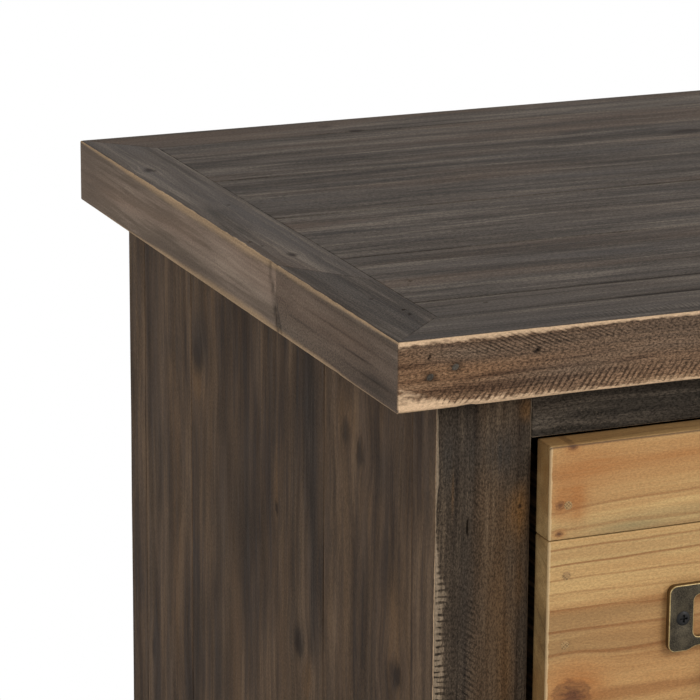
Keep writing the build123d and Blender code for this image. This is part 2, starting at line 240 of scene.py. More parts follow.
def box_surface(axes):
    """Points, outward quads and each quad's side (0 to 5) of a box with the given grid lines."""
    counts = [len(lines) for lines in axes]
    surface = np.zeros(counts, bool)
    for axis in range(3):
        view = np.moveaxis(surface, axis, 0)
        view[[0, -1]] = True
    index = np.full(counts, -1)
    index[surface] = np.arange(surface.sum())
    cells = np.argwhere(surface)
    points = np.column_stack([axes[axis][cells[:, axis]] for axis in range(3)])
    quads, sides = [], []
    for axis in range(3):
        for end in (0, 1):
            face = np.moveaxis(index, axis, 0)[-end]
            corners = (face[:-1, :-1], face[1:, :-1], face[1:, 1:], face[:-1, 1:])
            quad = np.stack(corners, axis=-1).reshape(-1, 4)
            backwards = (end == 0) != (axis == Y)
            quads.append(quad[:, ::-1] if backwards else quad)
            sides.append(np.full(len(quad), 2 * axis + end))
    return points, np.concatenate(quads), np.concatenate(sides)


def arris_radius(rng, along, radius):
    """The rounding of one long edge, uneven and with a few deeper chips."""
    uneven = 1 + EDGE_SWELL * wobble(rng, along, EDGE_WAVE)
    chips = CHIP_DEPTH * np.maximum(0, wobble(rng, along, CHIP_LENGTH) - CHIP_START)
    return radius * (uneven + chips)


def round_section(block, radius):
    """A board's points, with the corners of its section pulled in to the given radius."""
    offset = block.flat - block.centre
    past = [np.maximum(0, np.abs(offset[:, k]) - (block.half[k] - radius)) for k in block.cross]
    both = (past[0] > 0) & (past[1] > 0)
    scale = np.where(both, radius / np.maximum(np.hypot(*past), TINY), 1.0)
    for k, over in zip(block.cross, past):
        offset[:, k] -= np.sign(offset[:, k]) * over * (1 - scale)
    return block.centre + offset


def round_ends(block, points):
    """Pulls the section in over the last bit of the board's length."""
    from_middle = np.abs(points[:, block.grain] - block.centre[block.grain])
    share = np.clip((from_middle - (block.half[block.grain] - END_RADIUS)) / END_RADIUS, 0, 1)
    inset = END_RADIUS * (1 - np.sqrt(1 - share**2))
    for k in block.cross:
        points[:, k] -= (points[:, k] - block.centre[k]) / block.half[k] * inset


def wear_arrises(rng, block, arrises):
    """The rounding at each point of a board, and how near it is to a rubbed edge, in bands' widths."""
    length = block.flat[:, block.grain]
    along = length - (block.centre[block.grain] - block.half[block.grain])
    radius = np.zeros(len(length))
    rub = np.full(len(length), FAR)
    for corner in CORNERS:
        arris = arrises.get(corner, CRISP)
        near = [block.depth(k, sign) for k, sign in zip(block.cross, corner)]
        here = (near[0] <= block.half[block.cross[0]]) & (near[1] <= block.half[block.cross[1]])
        radius[here] = arris_radius(rng, length[here], arris.radius)
        if arris.reach_a:
            ripple = 1 + arris.uneven * wobble(rng, along, RUB_WAVE)
            swell = np.interp(along, *zip(*arris.swell)) * ripple
            rub = np.minimum(rub, np.hypot(near[0] / arris.reach_a, near[1] / arris.reach_b) / swell)
    return radius, rub


def apart(points, mark, axes):
    """How far points lie from a placed mark, counted in the mark's own reach."""
    return np.sqrt(sum(((points[:, k] - mark.centre[k]) / mark.reach[k]) ** 2 for k in axes))


def press_dents(block, points, placed, dents):
    """Presses the dents into the points and returns how dark each point is painted, from 0 to 1, as soot and
    as painted shade.
    """
    pit_and_shade = np.zeros(len(points))
    for dent in dents:
        on_face = block.depth(dent.axis, dent.sign) < TOUCH
        distance = apart(placed, dent, [k for k in range(3) if k != dent.axis])
        points[:, dent.axis] -= dent.sign * dent.depth * on_face * np.exp(-(distance**4))
        pit_and_shade = np.maximum(pit_and_shade, dent.soot_and_shade * on_face * np.exp(-(distance**2)))
    return pit_and_shade


def random_knots(rng, low, high):
    """A few knots somewhere in a board, or none."""
    return [
        Knot(tuple(rng.uniform(low, high)), rng.uniform(*KNOT_RADIUS_MM) * MM, dark=rng.uniform(*KNOT_DARK))
        for _ in range(rng.integers(KNOT_SLOTS))
    ]


def grow_knots(place, centre, order, knots):
    """The place in a board as its fibres run, which part round the knots, and a field for each knot slot: the
    place counted from the knot in its own radius, and its darkness."""
    fibre = place.copy()
    fields = {}
    for slot in range(KNOT_SLOTS):
        values = np.full(place.shape, FAR)
        values[:, 2] = 0.0
        if slot < len(knots):
            knot = knots[slot]
            away = place - (np.array(knot.centre) - centre)[order]
            values[:, 0] = away[:, 0] / (knot.radius * knot.stretch)
            values[:, 1] = away[:, 1] / knot.radius
            values[:, 2] = knot.dark
            reach = np.hypot(values[:, 0], values[:, 1])
            fibre[:, 1] -= FIBRE_PARTING * away[:, 1] * np.exp(-((reach / PARTING_REACH) ** 2))
        fields[f"knot_{slot + 1}"] = values
    return fibre, fields


def cut_mitre(block, points, mitre):
    """Shears the last stretch of a board so that its end face lies on the slanted cut."""
    stretch = MITRE_STRETCH * mitre.slope * block.half[mitre.axis]
    share = np.clip(1 - block.depth(block.grain, mitre.end) / stretch, 0, 1)
    points[:, block.grain] -= mitre.end * mitre.slope * block.depth(mitre.axis, mitre.face) * share


def spread_out(placed, blots):
    """The sum of patches at each point."""
    total = np.zeros(len(placed))
    for blot in blots:
        total += blot.amount * np.exp(-(apart(placed, blot, range(3)) ** 2))
    return total


def new_block(low, high, grain, rounded, marks, step):
    """A board's block between two corners, with its quads and their sides."""
    lines = []
    for k in range(3):
        spots = [(mark.centre[k], mark.reach[k]) for mark in marks]
        lines.append(grid_lines(low[k], high[k], step if k == grain else ACROSS_STEP, rounded[k], spots))
    flat, quads, sides = box_surface(lines)
    cross = [k for k in range(3) if k != grain]
    return Block(flat, (low + high) / 2, (high - low) / 2, grain, cross), quads, sides


def board(
    rng, low, high, grain, arrises=None, end_rub=None, dents=(), blots=(), sawn=(), knots=None, mitres=(),
    pith=None, tone=None, fine=True,
):
    """A worn board between two corners, with the fibres along one axis. end_rub tells how far its ends are
    rubbed along the front and into it."""
    low, high = np.array(low, float), np.array(high, float)
    rounded = [bool(arrises) or k == grain and end_rub is not None for k in range(3)]
    step = ALONG_STEP if fine else COARSE_STEP
    block, quads, sides = new_block(low, high, grain, rounded, (*dents, *blots, *sawn), step)
    placed = block.flat.copy()
    for mitre in mitres:
        cut_mitre(block, placed, mitre)
    radius, rub = wear_arrises(rng, block, arrises or {})
    points = round_section(block, radius)
    round_ends(block, points)
    if end_rub:
        to_end = np.minimum(block.depth(grain, -1), block.depth(grain, 1))
        rub = np.minimum(rub, np.hypot(to_end / end_rub[0], block.depth(Y, -1) / end_rub[1]))
    pit_and_shade = press_dents(block, points, placed, dents)
    wide, thin = sorted(block.cross, key=lambda k: -block.half[k])
    order = [grain, wide, thin]
    place = (placed - block.centre)[:, order]
    if pith is None:
        aside = rng.uniform(-PITH_ASIDE, PITH_ASIDE) * block.half[wide]
        pith = (aside, rng.choice((-1, 1)) * rng.uniform(*PITH_DEPTH_MM) * MM)
    start = np.array([rng.uniform(*GRAIN_START), *pith])
    if knots is None:
        knots = random_knots(rng, low, high)
    fibre, knot_fields = grow_knots(place, block.centre, order, knots)
    fields = {
        "place": place,
        "grain": place + start,
        "fibre": fibre + start,
        "rub": rub,
        "pit_and_shade": pit_and_shade,
        "tint": spread_out(placed, blots),
        "sawn": spread_out(placed, sawn),
        "tone": np.full(len(placed), rng.uniform() if tone is None else tone),
    }
    return BoardMesh(points + placed - block.flat, quads, sides, fields | knot_fields)


def attach(obj, name, values):
    """Stores one value or vector per vertex for the materials."""
    is_vector = values.ndim == 2
    layer = obj.data.attributes.new(name, "FLOAT_VECTOR" if is_vector else "FLOAT", "POINT")
    layer.data.foreach_set("vector" if is_vector else "value", values.astype(np.float32).ravel())


def new_piece(name, mesh, body, materials, replaced=()):
    """Puts a mesh into the scene in place of CAD nodes, on the body that carries it."""
    for material in materials:
        mesh.materials.append(material)
    obj = bpy.data.objects.new(name, mesh)
    bpy.context.scene.collection.objects.link(obj)
    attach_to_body(obj, body)
    if replaced:
        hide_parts(*replaced)
    return obj


def board_piece(node, body, boards, materials, faced=None):
    """One object made of boards. faced gives the material number of chosen sides, the rest take the first."""
    starts = np.cumsum([0] + [len(b.points) for b in boards])
    points = np.concatenate([b.points for b in boards])
    quads = np.concatenate([b.quads + start for b, start in zip(boards, starts)])
    sides = np.concatenate([b.sides for b in boards])
    mesh = bpy.data.meshes.new(f"{node}_worn")
    mesh.from_pydata(points.tolist(), [], quads.tolist())
    obj = new_piece(f"{node}_worn", mesh, body, materials, [node])
    numbers = np.zeros(len(quads), np.int32)
    for side, number in (faced or {}).items():
        numbers[sides == side] = number
    mesh.polygons.foreach_set("material_index", numbers)
    mesh.polygons.foreach_set("use_smooth", np.ones(len(quads), bool))
    for name in boards[0].fields:
        attach(obj, name, np.concatenate([b.fields[name] for b in boards]))


def case_board(rng, node, grain, materials, arrises, faced=None, **marks):
    """One stained board of the case, in the box of a CAD node."""
    made = board(rng, *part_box(node), grain, arrises, **marks)
    board_piece(node, "carcass", [made], materials, faced)


def welded(node):
    """The shape of a CAD node, with its faces joined along their edges."""
    shape = bmesh.new()
    shape.from_mesh(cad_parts[node].data)
    bmesh.ops.remove_doubles(shape, verts=shape.verts, dist=TOUCH)
    return shape


def solids_of(node):
    """The box of each separate solid in a CAD node."""
    shape = welded(node)
    seen = set()
    boxes = []
    for first in shape.verts:
        if first in seen:
            continue
        seen.add(first)
        waiting, found = [first], []
        while waiting:
            vertex = waiting.pop()
            found.append(np.array(vertex.co))
            linked = {edge.other_vert(vertex) for edge in vertex.link_edges} - seen
            seen |= linked
            waiting.extend(linked)
        boxes.append((np.min(found, axis=0), np.max(found, axis=0)))
    shape.free()
    return boxes


def eased(node, body, materials, width):
    """A CAD node's shape with its sharp edges eased. Of its materials the last is for the eased strips, and
    one between is for the walls that stand across Y."""
    shape = welded(node)
    bmesh.ops.dissolve_limit(shape, angle_limit=FLAT_ANGLE, verts=shape.verts, edges=shape.edges)
    sharp = [edge for edge in shape.edges if edge.is_convex and edge.calc_face_angle() > SHARP_ANGLE]
    bmesh.ops.bevel(
        shape,
        geom=sharp,
        offset=width,
        offset_type="OFFSET",
        segments=EASING_STEPS,
        profile=0.5,
        affect="EDGES",
        clamp_overlap=False,
        material=len(materials) - 1,
    )
    for face in shape.faces:
        face.smooth = True
        if len(materials) > 2 and face.material_index == 0 and abs(face.normal.y) < WALL_SLOPE:
            face.material_index = 1
    mesh = bpy.data.meshes.new(f"{node}_eased")
    shape.to_mesh(mesh)
    shape.free()
    mesh.set_sharp_from_angle(angle=SMOOTH_ANGLE)
    new_piece(f"{node}_eased", mesh, body, materials, [node])


# Shading


class Shader:
    """A material or world being wired: each method adds a node and returns the socket with its result."""

    def __init__(self, owner):
        self.owner = owner
        owner.use_nodes = True
        self.tree = owner.node_tree
        self.tree.nodes.clear()

    def node(self, kind, inputs=(), **settings):
        made = self.tree.nodes.new(kind)
        for key, value in settings.items():
            setattr(made, key, value)
        for key, value in dict(inputs).items():
            if isinstance(value, bpy.types.NodeSocket):
                self.tree.links.new(value, made.inputs[key])
            else:
                made.inputs[key].default_value = value
        return made

    def attribute(self, name, output="Fac"):
        return self.node("ShaderNodeAttribute", attribute_name=name).outputs[output]

    def object_coords(self):
        return self.node("ShaderNodeTexCoord").outputs["Object"]

    def math(self, operation, *values, clamp=False):
        return self.node("ShaderNodeMath", enumerate(values), operation=operation, use_clamp=clamp).outputs[0]

    def times(self, first, second):
        return self.math("MULTIPLY", first, second)

    def less(self, first, second):
        return self.math("SUBTRACT", first, second)

    def most(self, first, second):
        return self.math("MAXIMUM", first, second)

    def line(self, value, slope, start):
        return self.math("MULTIPLY_ADD", value, slope, start)

    def vector(self, operation, *values):
        return self.node("ShaderNodeVectorMath", enumerate(values), operation=operation).outputs["Vector"]

    def length(self, vector):
        return self.node("ShaderNodeVectorMath", {0: vector}, operation="LENGTH").outputs["Value"]

    def split(self, vector):
        return self.node("ShaderNodeSeparateXYZ", {0: vector}).outputs

    def join(self, x, y, z):
        return self.node("ShaderNodeCombineXYZ", {0: x, 1: y, 2: z}).outputs[0]

    def noise(self, coords, stretch, detail=2.0, roughness=0.5):
        scaled = self.vector("MULTIPLY", coords, stretch)
        inputs = {"Vector": scaled, "Scale": 1.0, "Detail": detail, "Roughness": roughness}
        return self.node("ShaderNodeTexNoise", inputs).outputs[0]

    def step(self, value, low, high, start=0.0, end=1.0):
        inputs = {"Value": value, "From Min": low, "From Max": high, "To Min": start, "To Max": end}
        return self.node("ShaderNodeMapRange", inputs, interpolation_type="SMOOTHSTEP").outputs[0]

    def weigh(self, *terms):
        """The sum of values, each with its weight."""
        total = 0.0
        for value, weight in terms:
            total = self.line(value, weight, total)
        return total

    def mix(self, factor, first, second):
        inputs = {0: factor, 6: first, 7: second}
        return self.node("ShaderNodeMix", inputs, data_type="RGBA").outputs[2]

    def scaled(self, colour, factor):
        start = colour if isinstance(colour, bpy.types.NodeSocket) else colour[:3]
        made = self.node("ShaderNodeVectorMath", {0: start, "Scale": factor}, operation="SCALE")
        return made.outputs["Vector"]

    def seen(self):
        """1 for what the camera sees, also by a mirror or through glass, and 0 for what lights the scene."""
        path = self.node("ShaderNodeLightPath").outputs
        return self.most(self.most(path["Is Camera Ray"], path["Is Glossy Ray"]), path["Is Transmission Ray"])

    def surface(self, colour, rough, height, depth, shine, metallic=0.0):
        """Ends a material in a surface with bumps of some height, each as deep as one depth."""
        bump = self.node("ShaderNodeBump", {"Height": height, "Distance": depth})
        inputs = {"Base Color": colour, "Roughness": rough, "Normal": bump.outputs[0]}
        inputs |= {"Specular IOR Level": shine, "Metallic": metallic}
        made = self.node("ShaderNodeBsdfPrincipled", inputs)
        self.node("ShaderNodeOutputMaterial", {"Surface": made.outputs[0]})
        return self.owner


def new_material(name):
    """A new material, ready to be wired."""
    return Shader(bpy.data.materials.new(name))


class Tones(NamedTuple):
    """Colours of a wood: its streaks, its bare wood, its warm and grey patches, and its knots."""

    dark: tuple
    middle: tuple
    light: tuple
    bare: tuple
    warm: tuple
    grey: tuple
    knot: tuple


class Look(NamedTuple):
    """How strongly each feature of a stained face shows."""

    weights: tuple  # of the streaks, from hair-thin to broad
    spread: float = 0.32  # how much of the streaks' sum lies between the middle and an outer tone
    shorter: float = 1.0  # how many times shorter the streaks are than in straight clean wood
    patches: float = 0.4
    mottle: float = 0.0
    rings: float = 0.25
    sand: float = 0.25
    tone: float = 0.24


def knots_of(shader, grain, rim):
    """The knots of a board: how dark each point is, with a rim of some strength, and how near to a knot."""
    ragged = shader.line(shader.noise(grain, (200, 520, 520), detail=3), 1.3, -0.65)
    dark, glow = 0.0, 0.0
    for slot in range(KNOT_SLOTS):
        parts = shader.split(shader.attribute(f"knot_{slot + 1}", "Vector"))
        reach = shader.math("ADD", shader.length(shader.join(parts[0], parts[1], 0.0)), ragged)
        core = shader.step(reach, 0.25, 1.25, 1 - 0.2 * rim, 0.0)
        edge = shader.times(shader.step(reach, 0.5, 0.95), shader.step(reach, 0.95, 1.3, rim, 0.0))
        dark = shader.most(dark, shader.times(shader.most(core, edge), parts[2]))
        glow = shader.most(glow, shader.step(reach, 0.6, 3.2, 1.0, 0.0))
    return dark, glow


def streak(shader, grain, along, across, detail=2.0):
    """Streaks along the grain, from 0 to 1."""
    return shader.step(shader.noise(grain, (along, across, across), detail), 0.3, 0.7)


def figure(shader, spacing, early, bend=7 * MM, rim=0.0, shorter=1.0):
    """What shows in a board, each from 0 to 1: the growth rings of a log whose pith runs along the grain,
    streaks from hair-thin to broad, and knots. With it comes the place as the grain runs."""
    straight = shader.attribute("grain", "Vector")
    knot, glow = knots_of(shader, straight, rim)
    sway = [shader.less(shader.noise(straight, size), 0.5) for size in ((10, 26, 26), (13, 31, 22))]
    fibre = shader.attribute("fibre", "Vector")
    grain = shader.vector("ADD", fibre, shader.scaled(shader.join(0.0, *sway), bend))
    radius = shader.length(shader.vector("MULTIPLY", grain, (0, 1, 1)))
    phase = shader.weigh((radius, 1.0), (shader.noise(grain, (1.6, 12, 12)), RING_WANDER))
    age = shader.math("FRACT", shader.math("DIVIDE", phase, spacing))
    late = shader.times(shader.step(age, early, 0.9), shader.step(age, 0.92, 1.0, 1.0, 0.0))
    shown = shader.times(streak(shader, grain, 3.1, 41), shader.line(glow, -0.4, 1.0))
    return SimpleNamespace(
        grain=grain,
        age=age,
        rings=shader.times(late, shown),
        sand=shader.step(shader.noise(straight, (760, 1500, 1500), roughness=0.7), 0.28, 0.72),
        hair=streak(shader, grain, 26 * shorter, 2300),
        fine=streak(shader, grain, 9 * shorter, 520, 3.0),
        middle=streak(shader, grain, 4.5 * shorter, 170),
        broad=streak(shader, grain, 2.4 * shorter, 52),
        knot=knot,
        glow=glow,
    )


def streaked(shader, wood, tones, weights, spread):
    """Three tones mixed by streaks, whose weights run from hair-thin to broad."""
    value = shader.weigh(*zip((wood.hair, wood.fine, wood.middle, wood.broad), weights))
    low = shader.mix(shader.step(value, 0.5 - spread, 0.5), tones.dark, tones.middle)
    return shader.mix(shader.step(value, 0.5, 0.5 + spread), low, tones.light)


def patched(shader, colour, wood, tones, amount):
    """Warm and grey patches: some by chance, and those placed in the board."""
    chance = shader.noise(wood.grain, (3.4, 44, 44))
    tint = shader.attribute("tint")
    ragged = shader.line(wood.fine, 0.5, 0.7)
    placed_warm = shader.times(shader.most(tint, 0.0), ragged)
    placed_grey = shader.times(shader.most(shader.times(tint, -1.0), 0.0), ragged)
    warm = shader.math("ADD", shader.step(chance, 0.5, 0.72, 0.0, amount), placed_warm, clamp=True)
    grey = shader.math("ADD", shader.step(chance, 0.5, 0.3, 0.0, amount), placed_grey, clamp=True)
    return shader.mix(grey, shader.mix(warm, colour, tones.warm), tones.grey)


def stained(shader, wood, tones, look):
    """A stained face: streaks, patches, latewood, a fine grit, clouds, the board's own tone, and knots."""
    colour = streaked(shader, wood, tones, look.weights, look.spread)
    colour = patched(shader, colour, wood, tones, look.patches)
    board_tone = shader.less(shader.attribute("tone"), 0.5)
    grit = shader.less(wood.sand, 0.5)
    cloud = shader.less(shader.step(shader.noise(wood.grain, (17, 62, 62), 4.0, 0.6), 0.3, 0.7), 0.5)
    light = ((wood.rings, -look.rings), (grit, look.sand), (cloud, look.mottle), (board_tone, look.tone))
    colour = shader.scaled(colour, shader.weigh(*light, (1.0, 1.05)))
    return shader.mix(wood.knot, colour, tones.knot)


class Saw(NamedTuple):
    """Strokes of a saw across the fibres: their pitch, two leans across the face, the face's axis, how dark
    the grooves are and how pale the ridges."""

    pitch: float
    lean: float
    back_lean: float
    across: int
    dark: float
    pale: float


def saw_marks(shader, saw):
    """1 in the grooves that a saw left across the grain and 0 between, uneven in depth and spacing."""
    place = shader.attribute("place", "Vector")
    parts = shader.split(place)
    height = parts[saw.across]
    lean = shader.step(shader.attribute("sawn"), 0.0, 0.04, saw.back_lean, saw.lean)
    along = shader.less(parts[0], shader.times(height, lean))
    turn = shader.line(shader.noise(place, (40, 40, 40)), 2.0 * saw.pitch, along)
    wave = shader.math("SINE", shader.times(turn, 2 * math.pi / saw.pitch))
    uneven = shader.noise(shader.join(along, height, 0.0), (0.9 / saw.pitch, 160, 1))
    return shader.step(shader.weigh((wave, 0.25), (uneven, 1.0)), 0.55, 0.7)


def stroked(shader, colour, saw):
    """A face with the saw's strokes where the board is sawn: its colour, and 1 in the grooves."""
    marks = saw_marks(shader, saw)
    sawn = shader.math("MINIMUM", shader.math("ABSOLUTE", shader.attribute("sawn")), 1.0)
    grooves = shader.times(marks, sawn)
    ridges = shader.times(shader.less(1.0, marks), sawn)
    light = shader.weigh((grooves, -saw.dark), (ridges, saw.pale), (1.0, 1.0))
    return shader.scaled(colour, light), grooves


def rubbed(shader, distance, low, high):
    """1 where the stain is rubbed off an edge."""
    return shader.step(distance, low, high, 1.0, 0.0)


def dark_pine(name, tones, look, saw=None, specks=0.0):
    """Pine under a dark worn stain, pale where its edges are rubbed."""
    shader = new_material(name)
    wood = figure(shader, spacing=5.5 * MM, early=0.3, shorter=look.shorter)
    colour = stained(shader, wood, tones, look)
    grooves = 0.0
    if saw:
        colour, grooves = stroked(shader, colour, saw)
    wander = shader.line(shader.noise(wood.grain, (150, 700, 700), detail=3), 1.8, -0.9)
    distance = shader.weigh((shader.attribute("rub"), 1.0), (wander, 1.0), (grooves, 0.8))
    pale = shader.scaled(tones.bare, shader.weigh((wood.fine, 0.3), (wood.sand, 0.5), (1.0, 0.6)))
    colour = shader.mix(rubbed(shader, distance, 0.5, 1.15), colour, pale)
    if specks:
        dots = shader.step(shader.noise(wood.grain, (1300, 1900, 1900)), 0.6, 0.74)
        where = shader.step(shader.noise(wood.grain, (30, 80, 80)), 0.42, 0.66, 0.0, specks)
        colour = shader.mix(shader.times(dots, where), colour, tones.bare)
    colour = shader.mix(shader.attribute("pit_and_shade"), colour, paint(16, 13, 11))
    rough = shader.line(wood.fine, 0.15, 0.62)
    height = shader.weigh((wood.hair, 0.25), (wood.fine, 0.5), (wood.sand, 0.8), (grooves, -1.2))
    return shader.surface(colour, rough, height, depth=0.06 * MM, shine=0.06)


def sawn_pine(name, tones, look, saw, bend, ragged, soft_edge):
    """The rough-sawn outer edge of the top: saw marks, and a rubbed band along both arrises."""
    shader = new_material(name)
    wood = figure(shader, spacing=4.5 * MM, early=0.4, bend=bend, shorter=look.shorter)
    colour, grooves = stroked(shader, stained(shader, wood, tones, look), saw)
    stray = shader.less(shader.noise(wood.grain, (240, 700, 700), detail=3), 0.5)
    wander = shader.times(stray, ragged)
    distance = shader.weigh((shader.attribute("rub"), 1.0), (wander, 1.0), (grooves, 0.5))
    pale = shader.scaled(tones.bare, shader.weigh((wood.fine, 0.25), (wood.sand, 0.35), (1.0, 0.68)))
    colour = shader.mix(rubbed(shader, distance, 0.9 - soft_edge, 0.9 + soft_edge), colour, pale)
    colour = shader.mix(shader.attribute("pit_and_shade"), colour, paint(18, 14, 12))
    height = shader.weigh((wood.hair, 0.3), (wood.fine, 0.4), (wood.sand, 0.8), (grooves, -2.6))
    return shader.surface(colour, 0.75, height, depth=0.09 * MM, shine=0.08)


def natural_pine(name, tones, line, line_depth, patches=0.35):
    """Waxed pine without stain: honey tones, thin brown growth lines and knots."""
    shader = new_material(name)
    wood = figure(shader, spacing=6.2 * MM, early=0.78, rim=0.5)
    colour = streaked(shader, wood, tones, weights=(0.12, 0.18, 0.25, 0.45), spread=0.32)
    ember = shader.times(wood.glow, 0.6)
    colour = shader.mix(ember, patched(shader, colour, wood, tones, patches), tones.warm)
    colour = shader.mix(shader.times(wood.rings, line_depth), colour, line)
    board_tone = shader.step(shader.attribute("tone"), 0.0, 1.0, -0.04, 0.04)
    grit = shader.less(wood.sand, 0.5)
    light = shader.weigh((wood.age, -0.05), (grit, 0.32), (board_tone, 1.0), (1.0, 1.02))
    heart = shader.scaled(tones.knot, shader.weigh((wood.fine, 0.5), (wood.sand, 0.8), (1.0, 0.4)))
    colour = shader.mix(wood.knot, shader.scaled(colour, light), heart)
    wander = shader.line(shader.noise(wood.grain, (60, 300, 300)), 1.2, -0.6)
    bare = rubbed(shader, shader.math("ADD", shader.attribute("rub"), wander), 0.7, 1.1)
    colour = shader.mix(shader.times(bare, 0.7), colour, tones.bare)
    # The pit value darkens the hollows round the nails, and paints a shadow line along the upper edge of a
    # drawer front
    colour = shader.mix(shader.attribute("pit_and_shade"), colour, paint(62, 45, 32))
    rough = shader.line(wood.fine, 0.12, 0.52)
    height = shader.weigh((wood.hair, 0.3), (wood.fine, 0.3), (wood.sand, 0.8), (wood.rings, 0.4))
    return shader.surface(colour, rough, height, depth=0.05 * MM, shine=0.2)


def inner_pine(name, middle, light):
    """Raw sawn pine of the runners and other hidden strips, with the fibres along Y."""
    shader = new_material(name)
    parts = shader.split(shader.object_coords())
    grain = shader.join(parts[Y], parts[X], parts[Z])
    fine = streak(shader, grain, 8, 480, 3.0)
    hair = streak(shader, grain, 26, 2300)
    colour = shader.mix(streak(shader, grain, 2.4, 70), middle, light)
    colour = shader.scaled(colour, shader.weigh((fine, 0.2), (hair, 0.12), (1.0, 0.84)))
    height = shader.weigh((fine, 0.6), (hair, 0.4))
    return shader.surface(colour, 0.75, height, depth=0.08 * MM, shine=0.15)


def metal(name, base, fleck, fleck_size, metallic, rough, shine=0.5):
    """Old metal: a cloudy darkened base with paler flecks."""
    shader = new_material(name)
    coords = shader.object_coords()
    cloud = shader.step(shader.noise(coords, (170, 170, 170), detail=4), 0.35, 0.65)
    speck = shader.step(shader.noise(coords, (1 / fleck_size,) * 3, detail=3), 0.4, 0.7)
    colour = shader.mix(shader.weigh((speck, 0.6), (cloud, 0.4)), base, fleck)
    roughness = shader.weigh((speck, 0.18), (cloud, 0.1), (1.0, rough))
    return shader.surface(colour, roughness, speck, 0.03 * MM, shine, metallic)


def hatched_iron(name, base, line, pitch):
    """A nail head stamped with crossed lines and worn to the colour of the wood round it."""
    shader = new_material(name)
    coords = shader.object_coords()
    parts = shader.split(coords)
    cuts = 0.0
    for operation in ("ADD", "SUBTRACT"):
        along = shader.math(operation, parts[X], parts[Z])
        wave = shader.math("SINE", shader.times(along, 2 * math.pi / (math.sqrt(2) * pitch)))
        cuts = shader.most(cuts, shader.step(wave, 0.3, 0.9))
    cloud = shader.noise(coords, (900, 900, 900), detail=3)
    cuts = shader.times(cuts, shader.step(cloud, 0.35, 0.6))
    colour = shader.scaled(shader.mix(cuts, base, line), shader.line(cloud, 0.5, 0.75))
    height = shader.weigh((cuts, -1.0), (cloud, 0.5))
    return shader.surface(colour, 0.6, height, depth=0.08 * MM, shine=0.3, metallic=0.15)


# Top


TOP_LOW, TOP_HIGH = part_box("top_border_front")
TOP_CORNER = Vector((TOP_LOW[X], TOP_LOW[Y], TOP_HIGH[Z]))
TOP_WIDTH_MM = (TOP_HIGH[X] - TOP_LOW[X]) / MM

# Old nails in the top's front edge, in millimetres from its upper corner at the left
OLD_NAILS = [(23.7, 12.0), (13.4, 14.9), (TOP_WIDTH_MM - 22.0, 13.0), (TOP_WIDTH_MM - 12.5, 16.5)]
OLD_NAIL_SIZE = (1.75, 1.25)  # half length and half width of the bent-over head
OLD_NAIL_TILT = math.radians(34)
OLD_NAIL_SUNK = Vector((0, 0.3 * MM, 0))
# Outline of a head and shank from the middle out and down: share of the head's size, and height
OLD_NAIL_PROFILE = (
    (0.0, 0.16), (0.45, 0.13), (0.8, 0.02), (0.97, -0.14),
    (1.0, -0.5), (0.5, -0.6), (0.45, -6.0), (0.0, -7.5),
)
LATHE_COUNT = 24

# Saw strokes by chance in the top's front edge, in millimetres from its left end
STROKES_START = 235.0
STROKES_PITCH = 75.0

# How the rubbed upper and lower arris of the top's front and back change from left to right
UPPER_SWELL = (
    (0.0, 1.8), (6 * MM, 1.3), (16 * MM, 0.9), (45 * MM, 1.0),
    (130 * MM, 0.85), (300 * MM, 0.6),
)
LOWER_SWELL = (
    (0.0, 1.5), (16 * MM, 1.2), (30 * MM, 0.8), (48 * MM, 0.45),
    (150 * MM, 0.4), (300 * MM, 0.7),
)
# How the rubbed edges of the left border's boards change from front to back, at their upper and lower arris
FRONT_SWELLS = {
    (-1, 1): ((0.0, 0.5), (60 * MM, 0.8), (123 * MM, 0.9)),
    (-1, -1): ((0.0, 0.2), (45 * MM, 0.35), (80 * MM, 0.9), (123 * MM, 1.0)),
}
REAR_SWELLS = {
    (-1, 1): ((0.0, 0.9), (40 * MM, 1.3), (140 * MM, 1.6), (230 * MM, 0.8), (283 * MM, 0.4)),
    (-1, -1): ((0.0, 1.0), (60 * MM, 1.3), (150 * MM, 1.0), (205 * MM, 0.4), (283 * MM, 0.15)),
}
# Splits beside the left border's joint: both ends, back from the corner and down, half width and darkness
SPLITS = (((130.5, 2.0), (121.5, 27.0), 1.1, 0.75), ((125.5, 12.0), (117.5, 27.0), 0.8, 0.6))
SPLIT_STEPS = 7
# Cracks in the left border's front board: place, half length and darkness
CRACKS = (((64, 10), 30, 0.45), ((38, 15.5), 16, 0.6), ((95, 17), 18, 0.4), ((24, 21), 20, 0.5))


def on_top(right, back):
    """A point of the top's upper face, in millimetres from the corner at the front left."""
    return (TOP_CORNER.x + right * MM, TOP_CORNER.y + back * MM, TOP_CORNER.z)


def on_front_edge(right, down):
    """A point of the top's front edge, in millimetres from the corner at the front left."""
    return (TOP_CORNER.x + right * MM, TOP_CORNER.y, TOP_CORNER.z - down * MM)


def on_left(back, down):
    """A point of the unit's left side, in millimetres from the top's corner at the front left."""
    return (TOP_CORNER.x, TOP_CORNER.y + back * MM, TOP_CORNER.z - down * MM)


def on_front(node):
    """Gives points of a piece's front, in millimetres from its upper corner at the left."""
    low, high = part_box(node)
    return lambda right, down: (low[X] + right * MM, low[Y], high[Z] - down * MM)


def front_hollow(place, half_width, half_height, depth, soot_and_shade):
    """A hollow in a front, with its measures in millimetres."""
    return Dent(place, Y, -1, (half_width * MM, THROUGH, half_height * MM), depth * MM, soot_and_shade)


def left_hollow(place, half_width, half_height, depth, soot_and_shade):
    """A hollow in the left edge of the top, with its measures in millimetres."""
    return Dent(on_left(*place), X, -1, (THROUGH, half_width * MM, half_height * MM), depth * MM, soot_and_shade)


